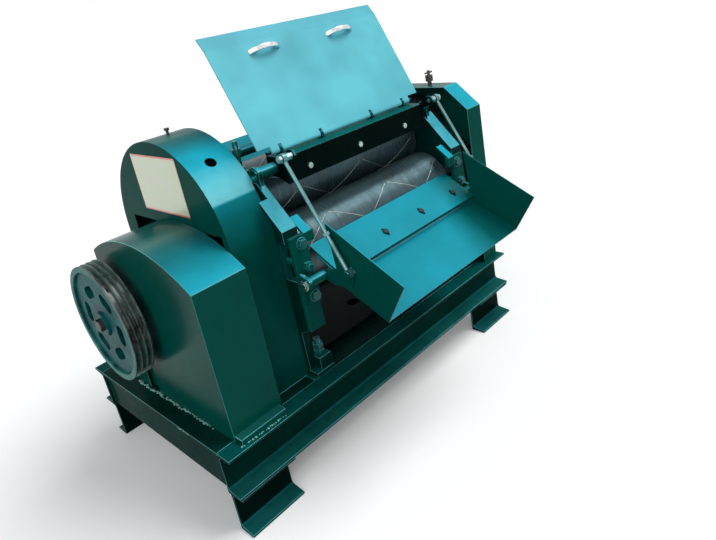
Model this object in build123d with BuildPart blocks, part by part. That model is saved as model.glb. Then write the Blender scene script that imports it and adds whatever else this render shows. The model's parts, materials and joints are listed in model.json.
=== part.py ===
"""Belt-driven three-roller sugarcane mill.

A base of rolled channels carries two mill cheeks. Three geared rollers run between them. A V-belt pulley
drives the top roller through two spur stages under sheet covers on the left, and three equal gears under a
cover on the right turn the lower rollers. The discharge chute with its scraper tilts on two bolts and hangs
from two adjustable stays. The lid swings over the top roller.

Sizes are in millimetres. X runs along the rollers from the pulley end, Y from the discharge side to the feed
side, and Z up from the floor. Lengths below are measured from the base's left end, its front edge and the
floor.
"""

import os
from math import atan2, cos, degrees, hypot, pi, radians, sin, sqrt, tan

from build123d import *

os.makedirs("parts", exist_ok=True)

# The row's origin is under the middle of the whole machine's box.
LEFT_END = -582.0
FRONT_EDGE = -239.5

# Base of 120 x 53 channel
BASE_LENGTH = 1200.0
BASE_WIDTH = 750.0
CHANNEL_HEIGHT = 120.0
CHANNEL_FLANGE = 53.0
CHANNEL_WEB = 5.5
FLANGE_TIP = 6.5
FLANGE_ROOT = 11.5
ROOT_RADIUS = 9.0
DECK_THICKNESS = 8.0
END_RECESS = 10.0
FOOT_LENGTH = 168.0
FOOT_INSET = 4.0
BASE_TOP = 2 * CHANNEL_HEIGHT
BEAM_INSIDE = BASE_WIDTH - CHANNEL_FLANGE

# Mill cheeks
CHEEK_INSIDE = 355.0
CHEEK_THICKNESS = 20.0
RIM_WIDTH = 47.0
RIM_THICKNESS = 10.0
MIDDLE = 680.5
CHEEK_FRONT = 26.0
CHEEK_SHOULDER = 689.0
CHEEK_TOP = 798.0
SHOULDER_RUN = 99.0

# Rollers and their gears
ROLLER_RADIUS = 95.0
TOP_AXIS = (264.0, 726.0)
FRONT_AXIS = (136.0, 583.0)
REAR_AXIS = (392.0, 583.0)
ROLLER_HALF = 306.5
RING_RADIUS = 106.0
RING_HALF = (309.5, 315.5)
JOURNAL_RADIUS = 27.5
GEAR_SEAT_RADIUS = 24.0
ROLLER_MODULE = 6.0
ROLLER_TEETH = 32
ROLLER_GEAR_START = 1120.0
ROLLER_GEAR_WIDTH = 46.0

# Two reduction stages
MAIN_MODULE = 5.0
MAIN_TEETH = 54
MAIN_PINION_TEETH = 17
MAIN_GEAR_START = 250.0
MAIN_GEAR_WIDTH = 48.0
FIRST_MODULE = 4.0
FIRST_TEETH = 72
FIRST_PINION_TEETH = 17
FIRST_GEAR_START = 96.0
FIRST_GEAR_WIDTH = 36.0
MAIN_LINE_ANGLE = -88.0
FIRST_LINE_ANGLE = -16.0
BACKLASH = 0.5
SHAFT_RADIUS = 20.0
INPUT_RADIUS = 17.5
FIT = 0.05
LOOSE_FIT = 0.3

# V-belt pulley
PULLEY_RADIUS = 165.5
PULLEY_START = -25.0
PULLEY_WIDTH = 50.0
GROOVE_PITCH = 15.0
GROOVE_DEPTH = 11.0
GROOVE_MOUTH = 12.5
GROOVE_FLOOR = 5.5
PULLEY_HOLES = 6

# Sheet covers
SHEET = 3.0
SMALL_COVER_X = (50.0, 199.0)
SMALL_COVER_Y = (44.0, 546.0)
SMALL_COVER_EAVE = 643.0
SMALL_COVER_CENTRE = (314.0, 224.6)
SMALL_COVER_RADIUS = 498.0
MAIN_COVER_X = (201.0, 333.0)
MAIN_COVER_CENTRE = (370.0, 659.0)
MAIN_COVER_RADIUS = 276.0
RIGHT_COVER_X = (1109.0, 1182.0)
RIGHT_COVER_FRONT = 21.0
RIGHT_COVER_SHOULDER = 790.0
RIGHT_COVER_TOP = 864.0
RIGHT_COVER_RUN = 84.0

# Tie tubes, guard angle and lid
TUBE_RADIUS = 16.0
FRONT_TUBE = (128.0, 818.0)
REAR_TUBE = (400.0, 818.0)
GUARD_X = (407.0, 954.0)
GUARD_FRONT = 78.0
GUARD_LEG = 70.0
GUARD_THICKNESS = 6.0
GUARD_TOP = 847.0
HINGE = (134.0, 857.0)
HINGE_RADIUS = 5.0
KNUCKLE_RADIUS = 8.5
LID_X = (365.5, 1003.5)
LID_LENGTH = 296.0
LID_LIP = 40.0
LID_LEAN = 26.5
LIP_BEND = 12.0
HANDLE_OFFSET = 141.0
HANDLE_REACH = 267.0

# Discharge chute and its stays
CHUTE_PIVOT = (-5.0, 547.0)
CHUTE_X = (387.0, 974.0)
CHUTE_FRONT_TOP = (-277.0, 570.0)
CHUTE_FRONT_LOW = (-207.0, 459.0)
CHUTE_BACK_LOW = (-58.0, 530.0)
CHUTE_BACK_TOP = (-44.0, 694.0)
SCRAPER_FRONT = (-69.0, 555.0)
SCRAPER_EDGE = (40.0, 618.0)
SCRAPER_THICKNESS = 6.0
STAY_TOP = (45.0, 857.0)
STAY_LOW = (-113.0, 576.0)
STAY_PLANE = 375.0
STAY_RADIUS = 5.0
SLEEVE_RADIUS = 6.5
SLEEVE_START = 232.0


def across(x):
    """Plane square to the rollers at length x, where sketches are drawn in depth and height."""
    return Plane(origin=(LEFT_END + x, FRONT_EDGE, 0), x_dir=(0, 1, 0), z_dir=(1, 0, 0))


def facing(y):
    """Upright plane at depth y, drawn in length and height. A positive extrusion comes forward."""
    return Plane(origin=(LEFT_END, FRONT_EDGE + y, 0), x_dir=(1, 0, 0), z_dir=(0, -1, 0))


def level(z):
    """Flat plane at height z, drawn in length and depth."""
    return Plane(origin=(LEFT_END, FRONT_EDGE, z))


def turning(centre):
    """Plane through a shaft's axis, drawn in length and radius."""
    depth, height = centre
    return Plane(origin=(LEFT_END, FRONT_EDGE + depth, height), x_dir=(1, 0, 0), z_dir=(0, -1, 0))


def shaft_axis(centre):
    depth, height = centre
    return Axis((LEFT_END, FRONT_EDGE + depth, height), (1, 0, 0))


def outline(*corners, mode=Mode.ADD):
    """Closed straight-sided face in the sketch that is open."""
    with BuildLine() as path:
        Polyline(*corners, close=True)
    make_face(path.line, mode=mode)


def between(low, high, mode=Mode.ADD):
    """Rectangle from its low to its high corner in the sketch that is open."""
    with Locations(((low[0] + high[0]) / 2, (low[1] + high[1]) / 2)):
        Rectangle(high[0] - low[0], high[1] - low[1], mode=mode)


def block(low, high):
    """Box from its low to its high corner (length, depth, height) in the part that is open."""
    with BuildSketch(level(low[2])) as face:
        between(low[:2], high[:2])
    extrude(face.sketch, amount=high[2] - low[2])


def rod(centre, radius, start, end, mode=Mode.ADD):
    """Cylinder along the rollers from length start to end."""
    with BuildSketch(across(start)) as face:
        with Locations(centre):
            Circle(radius)
    extrude(face.sketch, amount=end - start, mode=mode)


def spun(centre, *corners):
    """Turned piece from its half profile, given in length and radius."""
    with BuildSketch(turning(centre)) as face:
        outline(*corners)
    revolve(face.sketch, axis=shaft_axis(centre))


def channel_face(back, low, side, height=CHANNEL_HEIGHT):
    """Rolled channel section whose web's flat back is at back. Its flanges point to the side, +1 or -1."""
    steps = (
        (0, 0),
        (CHANNEL_FLANGE, 0),
        (CHANNEL_FLANGE, FLANGE_TIP),
        (CHANNEL_WEB, FLANGE_ROOT),
        (CHANNEL_WEB, height - FLANGE_ROOT),
        (CHANNEL_FLANGE, height - FLANGE_TIP),
        (CHANNEL_FLANGE, height),
        (0, height),
    )
    outline(*[(back + side * out, low + up) for out, up in steps])
    web_face = back + side * CHANNEL_WEB
    fillet([corner for corner in vertices() if abs(corner.X - web_face) < 0.01], ROOT_RADIUS)


def write(builder, name):
    """Labels a finished piece and writes its file."""
    builder.part.label = name
    export_step(builder.part, f"parts/{name}.step")


def mirrored(x):
    """The same length counted from the other end of the roller gap."""
    return 2 * MIDDLE - x


# ---------------------------------------------------------------- base

for name, back, side in (("front_beam", CHANNEL_FLANGE, -1), ("rear_beam", BEAM_INSIDE, 1)):
    with BuildPart() as beam:
        with BuildSketch(across(0)):
            channel_face(back, CHANNEL_HEIGHT, side)
        extrude(amount=BASE_LENGTH)
    write(beam, name)

with BuildPart() as feet:
    for start in (FOOT_INSET, BASE_LENGTH - FOOT_INSET - FOOT_LENGTH):
        for back, side in ((CHANNEL_FLANGE, -1), (BEAM_INSIDE, 1)):
            with BuildSketch(across(start)):
                channel_face(back, 0, side)
            extrude(amount=FOOT_LENGTH)
write(feet, "feet")

with BuildPart() as end_channels:
    for back, side in ((END_RECESS, 1), (BASE_LENGTH - END_RECESS, -1)):
        with BuildSketch(facing(BEAM_INSIDE)):
            channel_face(back, CHANNEL_HEIGHT, side, CHANNEL_HEIGHT - DECK_THICKNESS)
        extrude(amount=BEAM_INSIDE - CHANNEL_FLANGE)
write(end_channels, "end_channels")

CROSS_BACK = 322.0
with BuildPart() as cross_beams:
    for back, side in ((CROSS_BACK, 1), (mirrored(CROSS_BACK), -1)):
        with BuildSketch(facing(BEAM_INSIDE)):
            channel_face(back, CHANNEL_HEIGHT, side)
        extrude(amount=BEAM_INSIDE - CHANNEL_FLANGE)
write(cross_beams, "cross_beams")

CROSS_TIP = CROSS_BACK + CHANNEL_FLANGE
OUTLET = (MIDDLE, TOP_AXIS[0])
PIPE_RADIUS = 24.0
with BuildPart() as deck_plates:
    for start, end in (
        (0, CROSS_BACK),
        (CROSS_TIP, mirrored(CROSS_TIP)),
        (mirrored(CROSS_BACK), BASE_LENGTH),
    ):
        block((start, CHANNEL_FLANGE, BASE_TOP - DECK_THICKNESS), (end, BEAM_INSIDE, BASE_TOP))
    with BuildSketch(level(BASE_TOP)):
        with Locations(OUTLET):
            Circle(PIPE_RADIUS + LOOSE_FIT)
    extrude(amount=-DECK_THICKNESS, mode=Mode.SUBTRACT)
write(deck_plates, "deck_plates")

# ---------------------------------------------------------------- mill cheeks

BLOCK_HALF = 48.0
BLOCK_GAP = 0.3
CHEEK_REAR = 2 * TOP_AXIS[0] - CHEEK_FRONT
SHOULDER_FRONT = CHEEK_FRONT + SHOULDER_RUN
SHOULDER_REAR = CHEEK_REAR - SHOULDER_RUN
RIM_WINDOW = 64.0
FOOT_PLATE = 12.0
LUG_THICKNESS = 12.0
CHEEK_OUTSIDE = CHEEK_INSIDE - CHEEK_THICKNESS
RIM_OUTSIDE = CHEEK_INSIDE - RIM_WIDTH
RIM_STOP = 92.0
RIM_LOW = 657.0
SET_BACK = 58.0
SET_BACK_Z = (372.0, 398.0)
BESIDE_COVER = 334.5
FOOT_PLATE_REACH = 42.0
FOOT_LUG = (27.0, 36.0)
TUBE_SEAT = (19.0, 21.0, 26.0)
HOUSING_BOLT_X = 378.0
HOUSING_BOLTS = (85.0, 205.0, 323.0, 443.0)


def cheek_outline():
    outline(
        (CHEEK_FRONT + SET_BACK, BASE_TOP),
        (CHEEK_FRONT + SET_BACK, SET_BACK_Z[0]),
        (CHEEK_FRONT, SET_BACK_Z[1]),
        (CHEEK_FRONT, CHEEK_SHOULDER),
        (SHOULDER_FRONT, CHEEK_TOP),
        (SHOULDER_REAR, CHEEK_TOP),
        (CHEEK_REAR, CHEEK_SHOULDER),
        (CHEEK_REAR, SET_BACK_Z[1]),
        (CHEEK_REAR - SET_BACK, SET_BACK_Z[0]),
        (CHEEK_REAR - SET_BACK, BASE_TOP),
    )


def bearing_slots(half):
    """Cuts the three slots for the bearing blocks, open to the front, the rear and the top."""
    cut = Mode.SUBTRACT
    front, height = FRONT_AXIS
    between((CHEEK_FRONT - 1, height - half), (front + BLOCK_HALF + BLOCK_GAP, height + half), cut)
    rear = REAR_AXIS[0]
    between((rear - BLOCK_HALF - BLOCK_GAP, height - half), (CHEEK_REAR + 1, height + half), cut)
    depth, height = TOP_AXIS
    between((depth - half, height - BLOCK_HALF - BLOCK_GAP), (depth + half, CHEEK_TOP + 1), cut)


def span(x0, x1, right):
    """Start and end length of something on the left cheek, or of its mirror image on the right one."""
    if right:
        return mirrored(x1), mirrored(x0)
    return x0, x1


def cheek(right):
    with BuildPart() as piece:
        start, end = span(CHEEK_OUTSIDE, CHEEK_INSIDE, right)
        with BuildSketch(across(start)):
            cheek_outline()
            bearing_slots(BLOCK_HALF + BLOCK_GAP)
        extrude(amount=end - start)
        start, end = span(RIM_OUTSIDE, CHEEK_INSIDE, right)
        with BuildSketch(across(start)):
            cheek_outline()
            outline(
                (CHEEK_FRONT + RIM_THICKNESS, BASE_TOP - 1),
                (CHEEK_FRONT + RIM_THICKNESS, CHEEK_SHOULDER - 4),
                (SHOULDER_FRONT + 4, CHEEK_TOP - RIM_THICKNESS),
                (SHOULDER_REAR - 4, CHEEK_TOP - RIM_THICKNESS),
                (CHEEK_REAR - RIM_THICKNESS, CHEEK_SHOULDER - 4),
                (CHEEK_REAR - RIM_THICKNESS, BASE_TOP - 1),
                mode=Mode.SUBTRACT,
            )
            bearing_slots(RIM_WINDOW)
            between((CHEEK_FRONT - 1, BASE_TOP - 1), (CHEEK_REAR + 1, RIM_LOW), Mode.SUBTRACT)
            if not right:
                between((RIM_STOP, BASE_TOP - 1), (CHEEK_REAR + 1, CHEEK_TOP + 1), Mode.SUBTRACT)
        extrude(amount=end - start)
        start, end = span(BESIDE_COVER, CHEEK_INSIDE + FOOT_PLATE_REACH, right)
        block((start, CHANNEL_FLANGE, BASE_TOP), (end, CHEEK_REAR - 5, BASE_TOP + FOOT_PLATE))
        start, end = span(CHEEK_INSIDE, CHEEK_INSIDE + FOOT_PLATE_REACH, right)
        half, rise = FOOT_LUG
        for depth in (HOUSING_BOLTS[0], HOUSING_BOLTS[-1]):
            low = (start, depth - half, BASE_TOP + FOOT_PLATE)
            block(low, (end, depth + half, BASE_TOP + FOOT_PLATE + rise))
        start, end = span(CHEEK_INSIDE - 18, CHEEK_INSIDE - 18 + LUG_THICKNESS, right)
        half, radius, drop = TUBE_SEAT
        for depth, height in (FRONT_TUBE, REAR_TUBE):
            with BuildSketch(across(start)):
                between((depth - half, CHEEK_TOP - drop), (depth + half, height))
                with Locations((depth, height)):
                    Circle(radius)
            extrude(amount=end - start)
            rod((depth, height), TUBE_RADIUS + FIT, start, end, Mode.SUBTRACT)
    return piece


write(cheek(False), "left_housing")
write(cheek(True), "right_housing")

# ---------------------------------------------------------------- roller bearings

BUSH_RADIUS = 35.0
FLANGE_STEP = 8.0
FLANGE_HALF = 60.0
FLANGE_NARROW = 38.0
AXES = {"front": FRONT_AXIS, "rear": REAR_AXIS, "top": TOP_AXIS}


def bearing(centre, upright, right):
    """Bearing block that slides in its slot, with a wider flange on both sides of the cheek."""
    depth, height = centre
    start, end = span(CHEEK_OUTSIDE, CHEEK_INSIDE, right)
    wide = (FLANGE_HALF, BLOCK_HALF) if upright else (FLANGE_NARROW, FLANGE_HALF)
    block((start, depth - BLOCK_HALF, height - BLOCK_HALF), (end, depth + BLOCK_HALF, height + BLOCK_HALF))
    for face in (start - FLANGE_STEP, end):
        low = (face, depth - wide[0], height - wide[1])
        block(low, (face + FLANGE_STEP, depth + wide[0], height + wide[1]))
    rod(centre, BUSH_RADIUS, start - FLANGE_STEP, end + FLANGE_STEP, Mode.SUBTRACT)


for place, centre in AXES.items():
    with BuildPart() as bearings:
        bearing(centre, place == "top", False)
        bearing(centre, place == "top", True)
    write(bearings, f"{place}_bearings")

OUTER_PLATE = (62.0, 80.0)
INNER_PLATE = (150.0, 168.0)
FLANGE_BEARING = (311.0, CHEEK_OUTSIDE)
main_reach = MAIN_MODULE * (MAIN_TEETH + MAIN_PINION_TEETH) / 2
first_reach = FIRST_MODULE * (FIRST_TEETH + FIRST_PINION_TEETH) / 2
MIDDLE_AXIS = (
    TOP_AXIS[0] + main_reach * cos(radians(MAIN_LINE_ANGLE)),
    TOP_AXIS[1] + main_reach * sin(radians(MAIN_LINE_ANGLE)),
)
INPUT_AXIS = (
    MIDDLE_AXIS[0] + first_reach * cos(radians(FIRST_LINE_ANGLE)),
    MIDDLE_AXIS[1] + first_reach * sin(radians(FIRST_LINE_ANGLE)),
)
THIN_BUSH = 6.0

with BuildPart() as bearing_bushes:
    for centre in AXES.values():
        for right in (False, True):
            start, end = span(CHEEK_OUTSIDE - FLANGE_STEP, CHEEK_INSIDE + FLANGE_STEP, right)
            with BuildSketch(across(start)):
                with Locations(centre):
                    Circle(BUSH_RADIUS)
                    Circle(JOURNAL_RADIUS + FIT, mode=Mode.SUBTRACT)
            extrude(amount=end - start)
write(bearing_bushes, "bearing_bushes")

seats = (
    (MIDDLE_AXIS, SHAFT_RADIUS, OUTER_PLATE),
    (INPUT_AXIS, INPUT_RADIUS, OUTER_PLATE),
    (MIDDLE_AXIS, SHAFT_RADIUS, INNER_PLATE),
    (INPUT_AXIS, INPUT_RADIUS, INNER_PLATE),
    (MIDDLE_AXIS, SHAFT_RADIUS, FLANGE_BEARING),
)
with BuildPart() as shaft_bushes:
    for centre, radius, (start, end) in seats:
        with BuildSketch(across(start)):
            with Locations(centre):
                Circle(radius + THIN_BUSH)
                Circle(radius + FIT, mode=Mode.SUBTRACT)
        extrude(amount=end - start)
write(shaft_bushes, "shaft_bushes")

PLATE_EDGE = 46.0
for name, (start, end) in (("outer_bearing_plate", OUTER_PLATE), ("inner_bearing_plate", INNER_PLATE)):
    with BuildPart() as plate:
        with BuildSketch(across(start)):
            outline(
                (MIDDLE_AXIS[0] - 70, BASE_TOP),
                (MIDDLE_AXIS[0] - PLATE_EDGE, MIDDLE_AXIS[1] + PLATE_EDGE),
                (MIDDLE_AXIS[0] + PLATE_EDGE, MIDDLE_AXIS[1] + PLATE_EDGE),
                (INPUT_AXIS[0] + PLATE_EDGE, INPUT_AXIS[1] + PLATE_EDGE),
                (INPUT_AXIS[0] + PLATE_EDGE, BASE_TOP),
            )
            with Locations(MIDDLE_AXIS):
                Circle(SHAFT_RADIUS + THIN_BUSH, mode=Mode.SUBTRACT)
            with Locations(INPUT_AXIS):
                Circle(INPUT_RADIUS + THIN_BUSH, mode=Mode.SUBTRACT)
        extrude(amount=end - start)
    write(plate, name)

FLANGE_BEARING_RADIUS = 48.0
with BuildPart() as flange_bearing:
    start, end = FLANGE_BEARING
    with BuildSketch(across(start)):
        with Locations(MIDDLE_AXIS):
            Circle(SHAFT_RADIUS + THIN_BUSH + 10)
    extrude(amount=end - start)
    with BuildSketch(across(end - 10)):
        with Locations(MIDDLE_AXIS):
            Circle(FLANGE_BEARING_RADIUS)
    extrude(amount=10)
    rod(MIDDLE_AXIS, SHAFT_RADIUS + THIN_BUSH, start, end, Mode.SUBTRACT)
write(flange_bearing, "flange_bearing")

# ---------------------------------------------------------------- keepers, caps and screws

KEEPER_THICKNESS = 12.0
KEEPER_X = (318.0, 368.0)
KEEPER_Z = (405.0, 668.0)
SHELF_END = 393.0
SHELF_LOW = 640.0
TONGUE_X = (362.0, 388.0)
TONGUE_THICKNESS = 10.0
TONGUE_TIP = (58.0, 704.0)
PAD_X = (333.0, 368.0)
PAD_Z = (478.0, 524.0)
PAD_THICKNESS = 8.0
SCREW_X = 350.0
SCREW_RADIUS = 9.0
SCREW_HOLE = 9.4
NUT_RADIUS = 14.0
NUT_HEIGHT = 13.0
LUG_X = (322.0, 332.0)
PAD_BOLT = 501.0
KEEPER_BOLTS = (PAD_BOLT, 645.0)
KEEPER_BOLT_RADIUS = 8.0
PIVOT_RADIUS = 9.0
CAP_THICKNESS = 20.0


def keeper(right, rear):
    """Plate that closes a bearing slot. The front ones carry the lug of the chute's pivot."""
    face = CHEEK_REAR + KEEPER_THICKNESS if rear else CHEEK_FRONT
    start, end = span(BESIDE_COVER if rear else KEEPER_X[0], KEEPER_X[1], right)
    screw = mirrored(SCREW_X) if right else SCREW_X
    with BuildSketch(facing(face)) as plate:
        between((start, KEEPER_Z[0]), (end, KEEPER_Z[1]))
        if not rear:
            shelf_start, shelf_end = span(KEEPER_X[0], SHELF_END, right)
            between((shelf_start, SHELF_LOW), (shelf_end, KEEPER_Z[1]))
        with Locations((screw, FRONT_AXIS[1])):
            Circle(SCREW_HOLE, mode=Mode.SUBTRACT)
        for height in KEEPER_BOLTS:
            with Locations((screw, height)):
                Circle(KEEPER_BOLT_RADIUS + FIT, mode=Mode.SUBTRACT)
    extrude(plate.sketch, amount=KEEPER_THICKNESS)
    if rear:
        return
    start, end = span(*LUG_X, right)
    depth, height = CHUTE_PIVOT
    edge = CHEEK_FRONT - KEEPER_THICKNESS
    with BuildSketch(across(start)) as lug:
        outline((edge, height - 30), (edge, height + 24), (depth, height + 17), (depth, height - 17))
        with Locations(CHUTE_PIVOT):
            Circle(17)
            Circle(PIVOT_RADIUS + FIT, mode=Mode.SUBTRACT)
    extrude(lug.sketch, amount=end - start)
    start, end = span(*TONGUE_X, right)
    top = KEEPER_Z[1]
    with BuildSketch(across(start)) as tongue:
        under_tip = (TONGUE_TIP[0], TONGUE_TIP[1] - TONGUE_THICKNESS)
        outline((edge, top - TONGUE_THICKNESS), (edge, top), TONGUE_TIP, under_tip)
    extrude(tongue.sketch, amount=end - start)
    start, end = span(*PAD_X, right)
    with BuildSketch(facing(edge)) as pad:
        between((start, PAD_Z[0]), (end, PAD_Z[1]))
        with Locations((screw, PAD_BOLT)):
            Circle(KEEPER_BOLT_RADIUS + FIT, mode=Mode.SUBTRACT)
    extrude(pad.sketch, amount=PAD_THICKNESS)


for name, rear in (("front_keepers", False), ("rear_keepers", True)):
    with BuildPart() as keepers:
        keeper(False, rear)
        keeper(True, rear)
    write(keepers, name)

CAP_DEPTH = (186.0, 342.0)
CAP_END = 363.0
CAP_STUDS = (201.0, 327.0)
CAP_STUD_RADIUS = 7.0
CAP_STUD_TOP = 900.0
SHORT_STUD_TOP = 844.0
CAP_NUT = (862.0, 880.0)
CAP_NUT_RADIUS = 13.0
with BuildPart() as top_caps:
    for right in (False, True):
        start, end = span(BESIDE_COVER, CAP_END, right)
        screw = mirrored(SCREW_X) if right else SCREW_X
        with BuildSketch(level(CHEEK_TOP)):
            between((start, CAP_DEPTH[0]), (end, CAP_DEPTH[1]))
            with Locations((screw, TOP_AXIS[0])):
                Circle(SCREW_HOLE, mode=Mode.SUBTRACT)
            with Locations(*[(screw, depth) for depth in CAP_STUDS]):
                Circle(CAP_STUD_RADIUS + FIT, mode=Mode.SUBTRACT)
        extrude(amount=CAP_THICKNESS)
write(top_caps, "top_caps")


def hexagon_on(plane, spots, radius, height):
    """Hexagon heads or nuts raised from a plane."""
    with BuildSketch(plane) as face:
        with Locations(*spots):
            RegularPolygon(radius, 6)
    extrude(face.sketch, amount=height)


def round_on(plane, spots, radius, height):
    with BuildSketch(plane) as face:
        with Locations(*spots):
            Circle(radius)
    extrude(face.sketch, amount=height)


with BuildPart() as cap_studs:
    # The right-hand studs stay under the closed lid.
    tall = [(SCREW_X, depth) for depth in CAP_STUDS]
    short = [(mirrored(SCREW_X), depth) for depth in CAP_STUDS]
    round_on(level(CHEEK_TOP), tall, CAP_STUD_RADIUS, CAP_STUD_TOP - CHEEK_TOP)
    round_on(level(CHEEK_TOP), short, CAP_STUD_RADIUS, SHORT_STUD_TOP - CHEEK_TOP)
    hexagon_on(level(CHEEK_TOP + CAP_THICKNESS), tall + short, CAP_NUT_RADIUS, NUT_HEIGHT - 1)
    hexagon_on(level(CAP_NUT[0]), tall, CAP_NUT_RADIUS, CAP_NUT[1] - CAP_NUT[0])
write(cap_studs, "cap_studs")

TOP_SCREW_END = 868.0
SCREW_STAND = 6.0
with BuildPart() as adjusting_screws:
    spots = [(SCREW_X, FRONT_AXIS[1]), (mirrored(SCREW_X), FRONT_AXIS[1])]
    block_front = FRONT_AXIS[0] - BLOCK_HALF
    keeper_face = CHEEK_FRONT - KEEPER_THICKNESS
    round_on(facing(block_front), spots, SCREW_RADIUS, block_front - keeper_face + NUT_HEIGHT + SCREW_STAND)
    block_rear = REAR_AXIS[0] + BLOCK_HALF
    rear_face = CHEEK_REAR + KEEPER_THICKNESS
    tip = rear_face + NUT_HEIGHT + SCREW_STAND
    round_on(facing(tip), spots, SCREW_RADIUS, tip - block_rear)
    top_spots = [(SCREW_X, TOP_AXIS[0]), (mirrored(SCREW_X), TOP_AXIS[0])]
    block_top = TOP_AXIS[1] + BLOCK_HALF
    round_on(level(block_top), top_spots, SCREW_RADIUS, TOP_SCREW_END - block_top)
write(adjusting_screws, "adjusting_screws")

with BuildPart() as lock_nuts:
    for plane, places in (
        (facing(keeper_face), spots),
        (facing(rear_face + NUT_HEIGHT), spots),
        (level(CHEEK_TOP + CAP_THICKNESS), top_spots),
    ):
        with BuildSketch(plane):
            with Locations(*places):
                RegularPolygon(NUT_RADIUS, 6)
                Circle(SCREW_RADIUS, mode=Mode.SUBTRACT)
        extrude(amount=NUT_HEIGHT)
write(lock_nuts, "lock_nuts")

HEAD_RADIUS = 13.0
HEAD_HEIGHT = 10.0
with BuildPart() as keeper_bolts:
    places = [(x, z) for x in (SCREW_X, mirrored(SCREW_X)) for z in KEEPER_BOLTS]
    for x, z in places:
        head_face = keeper_face - (PAD_THICKNESS if z == PAD_BOLT else 0)
        hexagon_on(facing(head_face), [(x, z)], HEAD_RADIUS, HEAD_HEIGHT)
        round_on(facing(CHEEK_FRONT), [(x, z)], KEEPER_BOLT_RADIUS, CHEEK_FRONT - head_face)
    hexagon_on(facing(rear_face + HEAD_HEIGHT), places, HEAD_RADIUS, HEAD_HEIGHT)
    round_on(facing(rear_face), places, KEEPER_BOLT_RADIUS, KEEPER_THICKNESS)
write(keeper_bolts, "keeper_bolts")

STUD_RADIUS = 10.0
STUD_HEIGHT = 46.0
STUD_NUT_RADIUS = 16.0
NUT_SPACING = 19.0
with BuildPart() as housing_bolts:
    foot_top = BASE_TOP + FOOT_PLATE
    for depth in HOUSING_BOLTS:
        places = [(x, depth) for x in (HOUSING_BOLT_X, mirrored(HOUSING_BOLT_X))]
        seat = foot_top + (FOOT_LUG[1] if depth in (HOUSING_BOLTS[0], HOUSING_BOLTS[-1]) else 0)
        hexagon_on(level(seat), places, STUD_NUT_RADIUS, NUT_HEIGHT)
        round_on(level(seat), places, STUD_RADIUS, STUD_HEIGHT)
        hexagon_on(level(seat + NUT_SPACING), places, STUD_NUT_RADIUS, NUT_HEIGHT)
write(housing_bolts, "housing_bolts")

# ---------------------------------------------------------------- gears


def tooth_profile(module, teeth):
    """Angle and radius pairs of one gap's right flank, from tip to root, for a 20 degree involute."""
    pitch = module * teeth / 2
    base = pitch * cos(radians(20))
    tip = pitch + 0.9 * module
    root = pitch - 1.15 * module
    thickness = (pi * module / 2 - BACKLASH / 2) / pitch / 2

    def flank(radius):
        if radius <= base:
            return thickness + tan(radians(20)) - radians(20)
        pressure = sqrt((radius / base) ** 2 - 1)
        roll = pressure - atan2(pressure, 1)
        return thickness + tan(radians(20)) - radians(20) - roll

    radii = [tip, (tip + pitch) / 2, pitch, max(base, pitch - 0.6 * module), root]
    return [(flank(radius), radius) for radius in radii]


def gear_face(centre, module, teeth, phase):
    """Spur gear outline with one tooth's middle at the angle phase, in degrees."""
    flank = tooth_profile(module, teeth)
    points = []
    for tooth in range(teeth):
        middle = radians(phase) + 2 * pi * tooth / teeth
        lead = [(middle - angle, radius) for angle, radius in reversed(flank)]
        trail = [(middle + angle, radius) for angle, radius in flank]
        for angle, radius in lead + trail:
            points.append((centre[0] + radius * cos(angle), centre[1] + radius * sin(angle)))
    outline(*points)


def meshed_phase(phase, teeth, follower_teeth, line):
    """Phase of the follower whose gap faces the driver's tooth across the line of centres."""
    return line + 180 + (line - phase) * teeth / follower_teeth + 180 / follower_teeth


def line_angle(start, end):
    return degrees(atan2(end[1] - start[1], end[0] - start[0]))


WEB_HUB = 42.0
SMALL_HUB = 36.0
WEB_HOLES = 5


def gear(centre, module, teeth, phase, face_span, bore, hub=0.0, holes=0):
    """Gear over a span (start, width). With holes it has a thinner web between its rim and hub."""
    start, width = face_span
    pitch = module * teeth / 2
    rim = pitch - 3.2 * module
    with BuildPart() as piece:
        with BuildSketch(across(start)):
            gear_face(centre, module, teeth, phase)
            with Locations(centre):
                Circle(bore, mode=Mode.SUBTRACT)
        extrude(amount=width)
        if holes:
            recess = width * 0.3
            for face in (start, start + width - recess):
                with BuildSketch(across(face)):
                    with Locations(centre):
                        Circle(rim)
                        Circle(hub, mode=Mode.SUBTRACT)
                extrude(amount=recess, mode=Mode.SUBTRACT)
            with BuildSketch(across(start)):
                with Locations(centre):
                    with PolarLocations((rim + hub) / 2, holes):
                        Circle((rim - hub) * 0.32)
            extrude(amount=width, mode=Mode.SUBTRACT)
    return piece


TOP_PHASE = 0.0
roller_face = (ROLLER_GEAR_START, ROLLER_GEAR_WIDTH)
front_phase = meshed_phase(TOP_PHASE, ROLLER_TEETH, ROLLER_TEETH, line_angle(TOP_AXIS, FRONT_AXIS))
rear_phase = meshed_phase(TOP_PHASE, ROLLER_TEETH, ROLLER_TEETH, line_angle(TOP_AXIS, REAR_AXIS))
for name, centre, phase in (
    ("top_roller_gear", TOP_AXIS, TOP_PHASE),
    ("front_roller_gear", FRONT_AXIS, front_phase),
    ("rear_roller_gear", REAR_AXIS, rear_phase),
):
    write(
        gear(centre, ROLLER_MODULE, ROLLER_TEETH, phase, roller_face, GEAR_SEAT_RADIUS),
        name,
    )

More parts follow.
